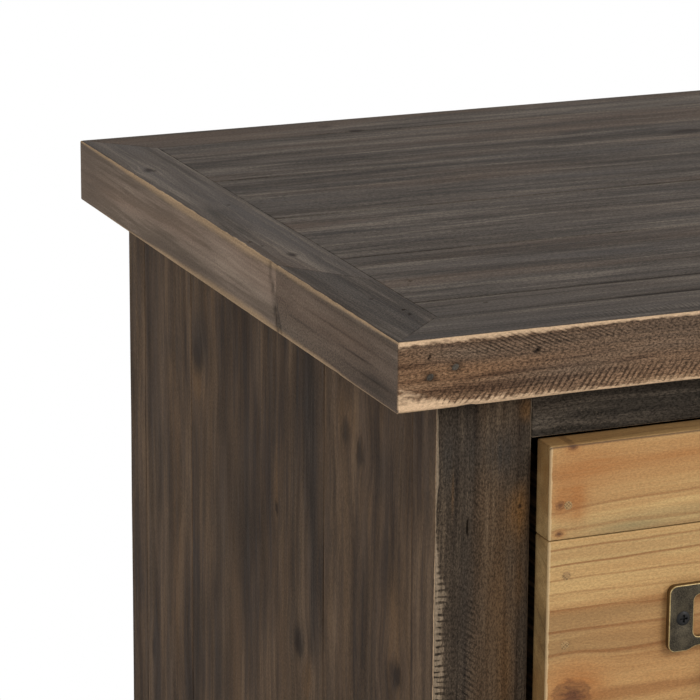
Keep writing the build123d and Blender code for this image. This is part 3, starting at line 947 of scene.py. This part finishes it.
def front_blots(at, spots):
    """Patches of a front, each with its place and half size in millimetres, and its amount."""
    return [
        Blot(at(right, down), (width * MM, THROUGH, height * MM), amount)
        for right, down, width, height, amount in spots
    ]


def left_blots(spots):
    """Patches of the left side, each with its place and half size in millimetres, and its amount."""
    return [
        Blot(on_left(back, down), (THROUGH, width * MM, height * MM), amount)
        for back, down, width, height, amount in spots
    ]


def worm_holes(places, radius=0.55 * MM):
    """Small dark pits in the top's upper face."""
    reach = (1.5 * radius, radius, THROUGH)
    return [Dent(on_top(*place), Z, 1, reach, depth=1.0 * MM, soot_and_shade=0.9) for place in places]


def seam_dirt(right, back, length):
    """Dirt along the joint of two planks of the top, strongest at one place."""
    reach = (length * MM, 1.3 * MM, THROUGH)
    return Dent(on_top(right, back), Z, 1, reach, depth=0.12 * MM, soot_and_shade=0.8)


def front_edge_holes():
    """Two ragged nail holes near the left end of the top's front edge, and the hollows of the nails in it."""
    holes = [((12.6, 7.6), 0.5, 0.6), ((13.2, 6.6), 0.4, 0.7), ((57, 9.2), 1.3, 0.8), ((57.7, 8.7), 0.7, 1.2)]
    dents = [front_hollow(on_front_edge(*place), *size, depth=0.5, soot_and_shade=1.0) for place, *size in holes]
    for place in OLD_NAILS:
        dents.append(front_hollow(on_front_edge(*place), 2.6, 2.1, depth=0.45, soot_and_shade=0.85))
    return dents


def front_edge_sawn(rng):
    """Where the saw's strokes show in the front edge, below 0 where they lean back: some are by chance."""
    spots = [
        (25, 24.5, 14, 3, 0.6), (75, 22.5, 45, 4.5, 1.0), (45, 5.5, 26, 3.6, -1.0),
        (86, 4.5, 28, 3, -0.6), (155, 22, 45, 4.5, 0.8),
    ]
    for right in np.arange(STROKES_START, TOP_WIDTH_MM, STROKES_PITCH):
        sign = rng.choice((-1, 1))
        spots.append((right, 14.0 + 8.0 * sign, rng.uniform(25, 45), 4.5, sign * rng.uniform(0.5, 0.9)))
    on_face = Blot(on_top(150.0, 8.0), (85 * MM, 4.0 * MM, 3 * MM), 1.8)
    return [*front_blots(on_front_edge, spots), on_face]


def front_edge_tints():
    """Grey and warm patches at the left of the front edge."""
    spots = [
        (24, 7, 15, 3.2, -0.4), (70, 18, 34, 4, -0.5), (105, 13, 30, 4, -0.2),
        (25, 14, 22, 3, 0.35), (70, 10.5, 22, 2.5, 0.6),
    ]
    return front_blots(on_front_edge, spots)


def old_nails(metal_look):
    """Nails left in the front edge: slightly domed heads, sunk in shallow hollows, with their shanks."""
    shape = bmesh.new()
    tilt = Matrix.Rotation(-OLD_NAIL_TILT, 3, "Y")
    for place in OLD_NAILS:
        middle = Vector(on_front_edge(*place)) + OLD_NAIL_SUNK
        rings = []
        for share, height in OLD_NAIL_PROFILE:
            ring = []
            for i in range(LATHE_COUNT if share else 1):
                angle = 2 * math.pi * i / LATHE_COUNT
                across = Vector((OLD_NAIL_SIZE[0] * math.cos(angle), 0, OLD_NAIL_SIZE[1] * math.sin(angle)))
                ring.append(shape.verts.new(middle + (tilt @ across * share - Vector((0, height, 0))) * MM))
            rings.append(ring)
        for ring, following in zip(rings, rings[1:]):
            for i in range(LATHE_COUNT):
                pair = (i, (i + 1) % LATHE_COUNT)
                corners = [ring[k % len(ring)] for k in pair]
                corners += [following[k % len(following)] for k in reversed(pair)]
                shape.faces.new(list(dict.fromkeys(corners)))
    bmesh.ops.recalc_face_normals(shape, faces=shape.faces)
    for face in shape.faces:
        face.smooth = True
    mesh = bpy.data.meshes.new("top_edge_nails")
    shape.to_mesh(mesh)
    shape.free()
    new_piece("top_edge_nails", mesh, "carcass", [metal_look])


def border_joint(node):
    """Where the slanted joint of a border board pieced from two meets its outer and its inner face."""
    low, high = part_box(node)
    points = [vertex.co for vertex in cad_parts[node].data.vertices]
    return [sorted({round(p.y, 6) for p in points if abs(p.x - x) < TOUCH})[1] for x in (low[X], high[X])]


def left_splits():
    """Dents in rows that make a long and a short split beside the left border's joint."""
    return [
        left_hollow(place, half_width, 3.2, depth=0.3, soot_and_shade=soot_and_shade)
        for start, end, half_width, soot_and_shade in SPLITS
        for place in np.linspace(start, end, SPLIT_STEPS)
    ]


def swelled(arrises, swells):
    """Arrises whose rubbed edges change along the board."""
    return {corner: arris._replace(swell=swells[corner]) for corner, arris in arrises.items()}


def left_border(rng, node, arrises, pith):
    """The two boards of the left border, with splits beside the joint."""
    low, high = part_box(node)
    joint_outer, joint_inner = border_joint(node)
    slope = (joint_outer - joint_inner) / (high[X] - low[X])
    holes = worm_holes([(20.5, 42.1), (20.2, 35.3), (15.0, 61.0)])
    cracks = [left_hollow(place, length, 0.5, depth=0.15, soot_and_shade=soot_and_shade) for place, length, soot_and_shade in CRACKS]
    marks = {
        "dents": [*left_splits(), *holes, *cracks],
        "blots": left_blots([(18, 23, 32, 7, -1.1)]),
        "knots": (),
        "mitres": (Mitre(X, -1, -1), Mitre(X, -1, 1, slope)),
        "tone": 0.0,
    }
    corner = (high[X], joint_outer, high[Z])
    front = board(rng, low, corner, Y, swelled(arrises, FRONT_SWELLS), pith=pith, **marks)
    marks = {
        "dents": left_splits() + worm_holes([(18.4, 226.1), (3.7, 162.3), (5.6, 154.3)]),
        "blots": left_blots([(360, 14, 26, 20, -0.7)]),
        "knots": [Knot(on_top(12.4, 136.6), 2.2 * MM, 1.8), Knot(on_top(9.0, 300.0), 3.0 * MM)],
        "mitres": (Mitre(X, -1, 1), Mitre(X, 1, -1, slope)),
        "tone": 3.4,
    }
    corner = (low[X], joint_inner, low[Z])
    return [front, board(rng, corner, high, Y, swelled(arrises, REAR_SWELLS), pith=pith, **marks)]


def top_border(rng, top_face, front_edge, side_edge):
    """The four mitred boards round the top, pale along their outer edges. The left one is pieced from two."""
    upper = {
        Y: Arris(1.2 * MM, 0.4 * MM, 2.2 * MM, UPPER_SWELL),
        X: Arris(0.9 * MM, 0.6 * MM, 1.8 * MM, uneven=0.15),
    }
    lower = {
        Y: Arris(1.8 * MM, 0.9 * MM, 4.6 * MM, LOWER_SWELL),
        X: Arris(0.8 * MM, 0.6 * MM, 2.3 * MM, uneven=0.15),
    }
    pith = (6 * MM, 38 * MM)
    for name, across, sign in (("front", Y, -1), ("back", Y, 1), ("left", X, -1), ("right", X, 1)):
        node = f"top_border_{name}"
        low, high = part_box(node)
        arrises = {(sign, 1): upper[across], (sign, -1): lower[across]}
        marks = {"mitres": (Mitre(across, sign, -1), Mitre(across, sign, 1)), "pith": pith}
        if name == "front":
            seam = seam_dirt(200.0, (high[Y] - TOP_CORNER.y) / MM, 130.0)
            marks |= {
                "dents": [*front_edge_holes(), seam],
                "sawn": front_edge_sawn(rng),
                "blots": front_edge_tints(),
                "knots": (),
                "tone": 0.5,
            }
        if name == "left":
            boards = left_border(rng, node, arrises, pith)
        else:
            boards = [board(rng, low, high, X if across == Y else Y, arrises, **marks)]
        outer = 2 * across + (1 if sign > 0 else 0)
        materials = [top_face, front_edge if across == Y else side_edge]
        board_piece(node, "carcass", boards, materials, {outer: 1})


def top_planks(rng, top_face):
    """The lengthwise planks inside the border."""
    knots = {5: [Knot(on_top(272.2, 286.9), 5.0 * MM, 2.4)], 2: []}
    pits = {1: [(54.2, 40.3)], 2: [(40.0, 80.7)]}
    dirty_edges = {1: (0, 1), 2: (0,)}
    worn = Arris(0.7 * MM)
    for i in range(1, 6):
        node = f"top_plank_{i}"
        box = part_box(node)
        dents = worm_holes(pits.get(i, []))
        for edge in dirty_edges.get(i, ()):
            dents.append(seam_dirt(170.0, (box[edge][Y] - TOP_CORNER.y) / MM, 140.0))
        arrises = {(-1, 1): worn, (1, 1): worn}
        case_board(rng, node, X, [top_face], arrises, dents=dents, knots=knots.get(i))


# Carcass


def stile_marks(node):
    """What shows in the left front stile: a short crack, a small knot, patches and saw strokes."""
    at = on_front(node)
    patches = [
        (7.2, 33, 0.7, 12, 0.5), (37, 7, 2.8, 5, 0.8), (35.5, 48, 5, 11, 0.9), (36, 76, 3, 12, 0.3),
        (27, 80, 4, 16, 0.15), (31, 112, 3.8, 24, 0.35), (4.5, 22, 3, 14, -0.8),
        (16, 20, 9, 12, -0.6), (29, 24, 7, 12, -0.8), (15, 80, 5, 40, -0.5),
    ]
    strokes = [
        (15, 110, 3.4, 32, 1.0), (17, 42, 5, 8, 0.6), (14, 185, 3, 40, 0.7), (2, 120, 5, 55, -1.0),
        (2, 235, 5, 75, -1.0),
    ]
    return {
        "dents": [front_hollow(at(13.5, 52.0), 0.32, 3.0, depth=1.2, soot_and_shade=1.0)],
        "blots": front_blots(at, patches),
        "sawn": front_blots(at, strokes),
        "knots": [Knot(at(35.6, 45.8), 0.8 * MM, 1.6)],
        "tone": 0.7,
    }


# How the rubbed outer corner of a stile changes from its foot up
STILE_SWELL = (
    (0.0, 1.0), (335 * MM, 0.95), (352 * MM, 0.2), (368 * MM, 0.12),
    (382 * MM, 0.28), (411 * MM, 0.15),
)


def stiles(rng, face, side_face):
    """Corner stiles, rubbed on their outer corner and stained like the planks at the sides, and the stile
    between the columns."""
    soft = Arris(0.7 * MM, 0.4 * MM, 0.4 * MM)
    outer = Arris(0.9 * MM, 4.6 * MM, 0.9 * MM, STILE_SWELL, 0.12)
    for row, y_sign in (("front", -1), ("rear", 1)):
        for side, x_sign in (("left", -1), ("right", 1)):
            node = f"{side}_{row}_stile"
            marks = stile_marks(node) if node == "left_front_stile" else {}
            arrises = {(x_sign, y_sign): outer, (-x_sign, y_sign): soft}
            outside = LEFT_SIDE if x_sign < 0 else RIGHT_SIDE
            case_board(rng, node, Z, [face, side_face], arrises, {outside: 1}, **marks)
    case_board(rng, "centre_stile", Z, [face], {(-1, -1): soft, (1, -1): soft})


def rails(rng, face):
    """The face frame's rails, darker than its stiles."""
    soft = Arris(0.6 * MM, 0.3 * MM, 0.3 * MM)
    for node in ("top_rail", "bottom_rail", "left_middle_rail", "right_middle_rail"):
        case_board(rng, node, X, [face], {(-1, -1): soft, (-1, 1): soft})


def left_planks():
    """Marks of the left side's planks: their knots, paler flames round these, and darker patches of stain."""
    knots = {
        1: [
            Knot(on_left(46.8, 151.0), 7.0 * MM, 1.0, 0.85),
            Knot(on_left(99.5, 65.5), 5.0 * MM, 1.5, 0.6),
            Knot(on_left(85.1, 69.7), 5.5 * MM, 1.4, 0.7),
        ],
        2: [
            Knot(on_left(272.6, 80.0), 7.5 * MM, 1.3, 0.6),
            Knot(on_left(149.5, 174.0), 6.0 * MM, 1.2, 0.7),
            Knot(on_left(175.3, 121.0), 2.5 * MM, 1.5, 0.8),
        ],
        3: [Knot(on_left(333.6, 238.8), 3.0 * MM, 2.4, 0.6)],
    }
    patches = {
        1: [
            (50, 134, 7, 18, 1.5), (45, 174, 6, 14, 1.0), (98, 58, 7, 8, 1.0), (76, 92, 6, 13, 0.5),
            (122, 120, 6, 90, 0.6), (62, 70, 9, 14, -0.5),
        ],
        2: [
            (272.7, 93, 8, 7, 1.2), (267, 71, 11, 14, -0.9), (219, 140, 26, 45, -0.5),
            (139, 70, 9, 50, -1.0), (134.5, 150, 4.5, 60, -0.9), (134, 290, 4, 80, -0.8),
            (139.6, 186, 7, 10, 1.6), (151, 171, 8, 9, -0.8), (176.4, 112, 4, 16, 1.1),
        ],
        3: [
            (301, 117, 7, 40, 0.6), (302, 185, 8, 50, 0.7), (344, 120, 8, 90, 0.5),
            (322, 140, 6, 60, -0.5),
        ],
    }
    tones = {1: 1.0, 2: 0.6, 3: 1.2}
    return {i: {"knots": knots[i], "blots": left_blots(patches[i]), "tone": tones[i]} for i in knots}


def side_planks(rng, face):
    """The upright planks of both sides. At the left the middle one is the darkest."""
    placed = left_planks()
    edge = Arris(0.5 * MM)
    for side, sign in (("left", -1), ("right", 1)):
        for i in range(1, 4):
            marks = placed[i] if side == "left" else {}
            case_board(rng, f"{side}_side_plank_{i}", Z, [face], {(sign, -1): edge, (sign, 1): edge}, **marks)


def inner_boards(rng, back_face, raw):
    """Back boards, bottom and partition."""
    backs = [board(rng, low, high, Z, fine=False) for low, high in solids_of("back_boards")]
    board_piece("back_boards", "carcass", backs, [back_face])
    for node, grain in (("base_panel", X), ("centre_partition", Z)):
        made = board(rng, *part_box(node), grain, fine=False)
        board_piece(node, "carcass", [made], [raw])


# Drawers


DRAWERS = [f"{row}_{column}_drawer" for row in ("upper", "lower") for column in ("left", "right")]
END_RUB = (1.0 * MM, 0.5 * MM)


def nail_dents(drawer, low, high):
    """The shallow hollows round the nails of a drawer's front between two heights."""
    centres = [(nail_low + nail_high) / 2 for nail_low, nail_high in solids_of(f"{drawer}_nails")]
    return [
        front_hollow((centre[X], low[Y], centre[Z]), 2.1, 2.1, depth=0.15, soot_and_shade=0.15)
        for centre in centres
        if low[Z] < centre[Z] < high[Z]
    ]


def front_marks(node, is_upper):
    """Knots and patches of the drawer front at the upper left, in one of its two planks."""
    at = on_front(node)
    if is_upper:
        knots = [
            Knot(at(9.5, 0.9), 1.3 * MM),
            Knot(at(4.6, 23.8), 1.7 * MM, 1.1, 0.8),
            Knot(at(4.4, 35.4), 1.0 * MM),
        ]
        patches = [
            (12, 25, 4, 8, 0.9), (5, 24, 4, 11, 0.5), (12, 9, 18, 9, 0.5), (60, 8, 60, 9, 0.55),
            (36, 36, 14, 2, -0.45), (75, 31, 30, 4, 0.1),
        ]
        tone = 0.4
    else:
        knots = [Knot(at(11.2, 103.5), 6.8 * MM, 1.1, 0.95)]
        patches = [
            (13, 100, 11, 9, 0.75), (60, 76, 80, 9, 0.4), (40, 96, 70, 10, 0.3),
            (40, 44, 60, 5, -0.2),
        ]
        tone = 0.6
    return {"knots": knots, "blots": front_blots(at, patches), "tone": tone}


def drawer_front(rng, drawer, wood, end_and_shade_wood):
    """Two planks with softened edges, dented round the nails, with a painted shadow line along the upper
    edge, and darker honey on the ends and upper face: end grain, and painted shade.
    """
    node = f"{drawer}_front"
    # Reach of the painted shadow line along the upper edge
    line = (THROUGH, THROUGH, 0.45 * MM)
    soft = Arris(0.8 * MM)
    crack = Arris(0.35 * MM)
    boxes = sorted(solids_of(node), key=lambda box: box[0][Z])
    planks = []
    for low, high in boxes:
        is_upper = high[Z] > boxes[0][1][Z]
        arrises = {(-1, 1): soft if is_upper else crack, (-1, -1): crack if is_upper else soft}
        marks = front_marks(node, is_upper) if drawer == DRAWERS[0] else {}
        dents = nail_dents(drawer, low, high)
        if is_upper:
            # A painted shadow under the upper arris: a dent of almost no depth, dark in colour
            place = (low[X], low[Y], high[Z] - 0.4 * MM)
            dents.append(Dent(place, Y, -1, line, depth=0.05 * MM, soot_and_shade=0.9))
        planks.append(board(rng, low, high, X, arrises, END_RUB, dents, **marks))
    # The darker honey: end grain at the ends, and painted shade there and on the upper face under the rail
    ends = {LEFT_SIDE: 1, RIGHT_SIDE: 1, UPPER_SIDE: 1}
    board_piece(node, drawer, planks, [wood, end_and_shade_wood], ends)


def drawer_box(rng, drawer, wood):
    """The sides, back and bottom behind a drawer's front. The sides are darkened towards the front as painted
    shade of the gap.
    """
    soft = Arris(0.5 * MM)
    sides = []
    for low, high in solids_of(f"{drawer}_sides"):
        # Painted shade of the gap, darkening each side towards its front end
        gap_shade = Blot((low[X], low[Y], high[Z]), (THROUGH, 30 * MM, THROUGH), -1.0)
        arrises = {(-1, 1): soft, (1, 1): soft}
        sides.append(board(rng, low, high, Y, arrises, blots=[gap_shade], fine=False))
    board_piece(f"{drawer}_sides", drawer, sides, [wood])
    for node in (f"{drawer}_back", f"{drawer}_bottom"):
        made = board(rng, *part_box(node), X, fine=False)
        board_piece(node, drawer, [made], [wood])


# Stage and camera


def make_floor():
    """A pale floor that keeps the shadow close to the object and turns white further out."""
    mesh = bpy.data.meshes.new("floor")
    corners = [(-1, -1), (1, -1), (1, 1), (-1, 1)]
    mesh.from_pydata([(x * FLOOR_HALF, y * FLOOR_HALF, 0) for x, y in corners], [], [(0, 1, 2, 3)])
    floor = bpy.data.objects.new("floor", mesh)
    bpy.context.scene.collection.objects.link(floor)
    shader = new_material("pale_floor")
    parts = shader.split(shader.object_coords())
    half = (cad_box[1] - cad_box[0]) / 2
    past = [shader.most(shader.less(shader.math("ABSOLUTE", parts[k]), half[k]), 0.0) for k in (X, Y)]
    distance = shader.length(shader.join(past[0], past[1], 0.0))
    white = shader.times(shader.seen(), shader.step(distance, *FLOOR_FADE))
    paper = shader.node("ShaderNodeBsdfDiffuse", {"Color": (FLOOR_GREY, FLOOR_GREY, FLOOR_GREY, 1)})
    glow = shader.node("ShaderNodeEmission", {"Color": (1, 1, 1, 1), "Strength": 1.0})
    mixed = shader.node("ShaderNodeMixShader", {0: white, 1: paper.outputs[0], 2: glow.outputs[0]})
    shader.node("ShaderNodeOutputMaterial", {"Surface": mixed.outputs[0]})
    mesh.materials.append(shader.owner)


def make_world():
    """An even white surround, brighter where it is seen than where it lights."""
    shader = Shader(bpy.data.worlds.new("studio"))
    strength = shader.node("ShaderNodeMapRange", {"Value": shader.seen(), "To Min": AMBIENT, "To Max": 1.0})
    back = shader.node("ShaderNodeBackground", {"Color": (1, 1, 1, 1), "Strength": strength.outputs[0]})
    shader.node("ShaderNodeOutputWorld", {"Surface": back.outputs[0]})
    bpy.context.scene.world = shader.owner


def make_lamp(name, place, power, size):
    """A soft square lamp aimed at the object."""
    light = bpy.data.lights.new(name, "AREA")
    light.energy = power
    light.size = size
    lamp = bpy.data.objects.new(name, light)
    lamp.location = place
    lamp.rotation_euler = (LAMP_AIM - Vector(place)).to_track_quat("-Z", "Y").to_euler()
    bpy.context.scene.collection.objects.link(lamp)


def make_camera():
    """The camera of the photograph."""
    across = Vector((math.cos(CAMERA_YAW), -math.sin(CAMERA_YAW), 0))
    flat = Vector((math.sin(CAMERA_YAW), math.cos(CAMERA_YAW), 0))
    ahead = flat * math.cos(CAMERA_PITCH) - Vector((0, 0, math.sin(CAMERA_PITCH)))
    up = across.cross(ahead)
    right = across * math.cos(CAMERA_ROLL) + up * math.sin(CAMERA_ROLL)
    up = up * math.cos(CAMERA_ROLL) - across * math.sin(CAMERA_ROLL)
    data = bpy.data.cameras.new("camera")
    data.lens = CAMERA_LENS
    data.sensor_width = CAMERA_SENSOR
    camera = bpy.data.objects.new("camera", data)
    turn = Matrix((right, up, -ahead)).transposed().to_4x4()
    camera.matrix_world = Matrix.Translation(TOP_CORNER + CAMERA_OFFSET) @ turn
    bpy.context.scene.collection.objects.link(camera)
    bpy.context.scene.camera = camera


# The whole unit


def wood_tones(*colours):
    """The tones of a wood from display colours."""
    return Tones(*(paint(*colour) for colour in colours))


BARE = (212, 179, 144)
DULL_BARE = (134, 117, 97)
# Bare wood darkened by painted shade, for the rubbed arrises of the top's side edges; the top's face takes it
# too
SHADED_BARE = (184, 155, 122)
WAXED_BARE = (214, 184, 140)
RAW_BARE = (190, 160, 120)
KNOT = (34, 25, 19)
# The top's tones are greyer than the sides': a painted sheen of the white surround on the same stain
TOP_TONES = wood_tones((56, 49, 43), (80, 72, 65), (104, 95, 86), SHADED_BARE, (90, 74, 62), (72, 67, 64), KNOT)
SIDE_TONES = wood_tones((58, 46, 37), (83, 67, 53), (104, 85, 67), BARE, (103, 81, 60), (57, 48, 41), KNOT)
FRAME_TONES = wood_tones(
    (38, 31, 25), (63, 53, 43), (92, 78, 63), DULL_BARE, (102, 73, 43), (56, 50, 44), KNOT
)
RAIL_TONES = wood_tones((35, 31, 26), (54, 48, 41), (82, 73, 63), DULL_BARE, (66, 53, 41), (51, 47, 43), KNOT)
FRONT_EDGE_TONES = wood_tones(
    (74, 53, 38), (113, 86, 64), (148, 119, 91), BARE, (120, 86, 58), (102, 87, 73), KNOT
)
SIDE_EDGE_TONES = wood_tones(
    (90, 78, 67), (110, 96, 84), (128, 113, 99), SHADED_BARE, (124, 102, 86), (80, 69, 60), KNOT
)
HONEY_TONES = wood_tones(
    (158, 115, 70), (182, 143, 93), (197, 163, 109), WAXED_BARE, (166, 112, 63), (142, 126, 88), (76, 45, 31)
)
# Darker honey of a drawer front's ends and upper face: end grain, and painted shade
HONEY_END_AND_SHADE_TONES = wood_tones(
    (134, 104, 67), (162, 130, 85), (186, 153, 104), WAXED_BARE, (148, 109, 64), (126, 109, 76), (66, 43, 29)
)
# Its grey tone is the painted shade of the gap on a drawer's sides near the front
RAW_TONES = wood_tones(
    (132, 102, 68), (154, 122, 84), (172, 140, 100), RAW_BARE, (150, 112, 72), (52, 40, 29), (96, 62, 40)
)
TOP_LOOK = Look(
    (0.12, 0.34, 0.3, 0.24), spread=0.25, shorter=1.8, patches=0.5, mottle=0.25, sand=0.8, tone=0.1
)
SIDE_LOOK = Look((0.1, 0.26, 0.3, 0.34), spread=0.26, shorter=2.6, patches=0.5, mottle=0.5, sand=0.5)
FRAME_LOOK = Look((0.1, 0.28, 0.32, 0.3), shorter=1.4, patches=0.25, mottle=0.2, sand=1.1)
FRONT_EDGE_LOOK = Look((0.15, 0.35, 0.25, 0.25), patches=0.55, mottle=0.1, sand=1.4)
SIDE_EDGE_LOOK = Look(
    (0.1, 0.25, 0.3, 0.35), spread=0.26, shorter=1.8, patches=0.45, mottle=0.4, rings=0.06, sand=0.6
)
TOP_SAW = Saw(2.1 * MM, lean=0.0, back_lean=0.0, across=1, dark=0.4, pale=-0.06)
FRAME_SAW = Saw(2.5 * MM, lean=-0.8, back_lean=-0.08, across=1, dark=0.35, pale=0.3)
EDGE_SAW = Saw(2.6 * MM, lean=0.66, back_lean=-1.8, across=2, dark=0.58, pale=0.14)


def make_case(rng, raw, steel):
    """The top and the carcass."""
    top_face = dark_pine("top_pine", TOP_TONES, TOP_LOOK, TOP_SAW)
    side_face = dark_pine("side_pine", SIDE_TONES, SIDE_LOOK)
    frame_face = dark_pine("frame_pine", FRAME_TONES, FRAME_LOOK, FRAME_SAW, specks=0.4)
    rail_look = FRAME_LOOK._replace(patches=0.4)
    rail_face = dark_pine("rail_pine", RAIL_TONES, rail_look, FRAME_SAW, specks=0.4)
    front_edge = sawn_pine(
        "sawn_edge", FRONT_EDGE_TONES, FRONT_EDGE_LOOK, EDGE_SAW, bend=7 * MM, ragged=1.9, soft_edge=0.45
    )
    side_edge = sawn_pine(
        "side_edge", SIDE_EDGE_TONES, SIDE_EDGE_LOOK, EDGE_SAW, bend=2 * MM, ragged=0.5, soft_edge=0.7
    )
    strips = inner_pine("strip_pine", paint(128, 100, 72), paint(156, 126, 92))
    old_iron = metal(
        "old_iron", paint(58, 53, 47), paint(96, 89, 80), 0.6 * MM, metallic=0.0, rough=0.7, shine=0.05
    )
    top_border(rng, top_face, front_edge, side_edge)
    old_nails(old_iron)
    top_planks(rng, top_face)
    stiles(rng, frame_face, side_face)
    rails(rng, rail_face)
    side_planks(rng, side_face)
    inner_boards(rng, side_face, raw)
    for node in ("drawer_runners", "kickers", "drawer_stops", "top_battens"):
        eased(node, "carcass", [strips], width=0.6 * MM)
    eased("top_screws", "carcass", [steel], width=0.2 * MM)


def make_drawers(rng, raw, steel):
    """The four drawers with their nails, label pulls and screws."""
    honey = natural_pine("honey_pine", HONEY_TONES, paint(130, 80, 42), line_depth=0.75)
    honey_end_and_shade = natural_pine("honey_end_and_shade", HONEY_END_AND_SHADE_TONES, paint(98, 68, 40), line_depth=0.35)
    iron = hatched_iron("nail_iron", paint(168, 133, 88), paint(112, 88, 56), pitch=1.0 * MM)
    brass = metal("antique_brass", paint(42, 37, 28), paint(98, 88, 70), 0.35 * MM, metallic=0.8, rough=0.42)
    wall_brass = metal("wall_brass", paint(84, 60, 28), paint(112, 84, 44), 0.6 * MM, metallic=0.5, rough=0.5)
    worn_brass = metal(
        "worn_brass", paint(150, 126, 80), paint(206, 182, 128), 0.8 * MM, metallic=0.4, rough=0.35
    )
    brasses = [brass, wall_brass, worn_brass]
    for drawer in DRAWERS:
        drawer_front(rng, drawer, honey, honey_end_and_shade)
        drawer_box(rng, drawer, raw)
        eased(f"{drawer}_nails", drawer, [iron], width=0.2 * MM)
        eased(f"{drawer}_label_pull", drawer, brasses, width=0.35 * MM)
        eased(f"{drawer}_pull_screws", drawer, [steel], width=0.12 * MM)


def make_unit():
    """Every piece of the drawer unit."""
    rng = np.random.default_rng(SEED)
    raw = natural_pine("raw_pine", RAW_TONES, paint(126, 90, 56), line_depth=0.5, patches=0.0)
    steel = metal(
        "black_steel", paint(12, 11, 10), paint(34, 31, 28), 1.1 * MM, metallic=0.2, rough=0.4, shine=0.3
    )
    make_case(rng, raw, steel)
    make_drawers(rng, raw, steel)


make_unit()
make_floor()
make_world()
for lamp_name, (lamp_place, lamp_power, lamp_size) in LAMPS.items():
    make_lamp(lamp_name, lamp_place, lamp_power, lamp_size)
make_camera()
bpy.context.scene.view_settings.view_transform = "Standard"
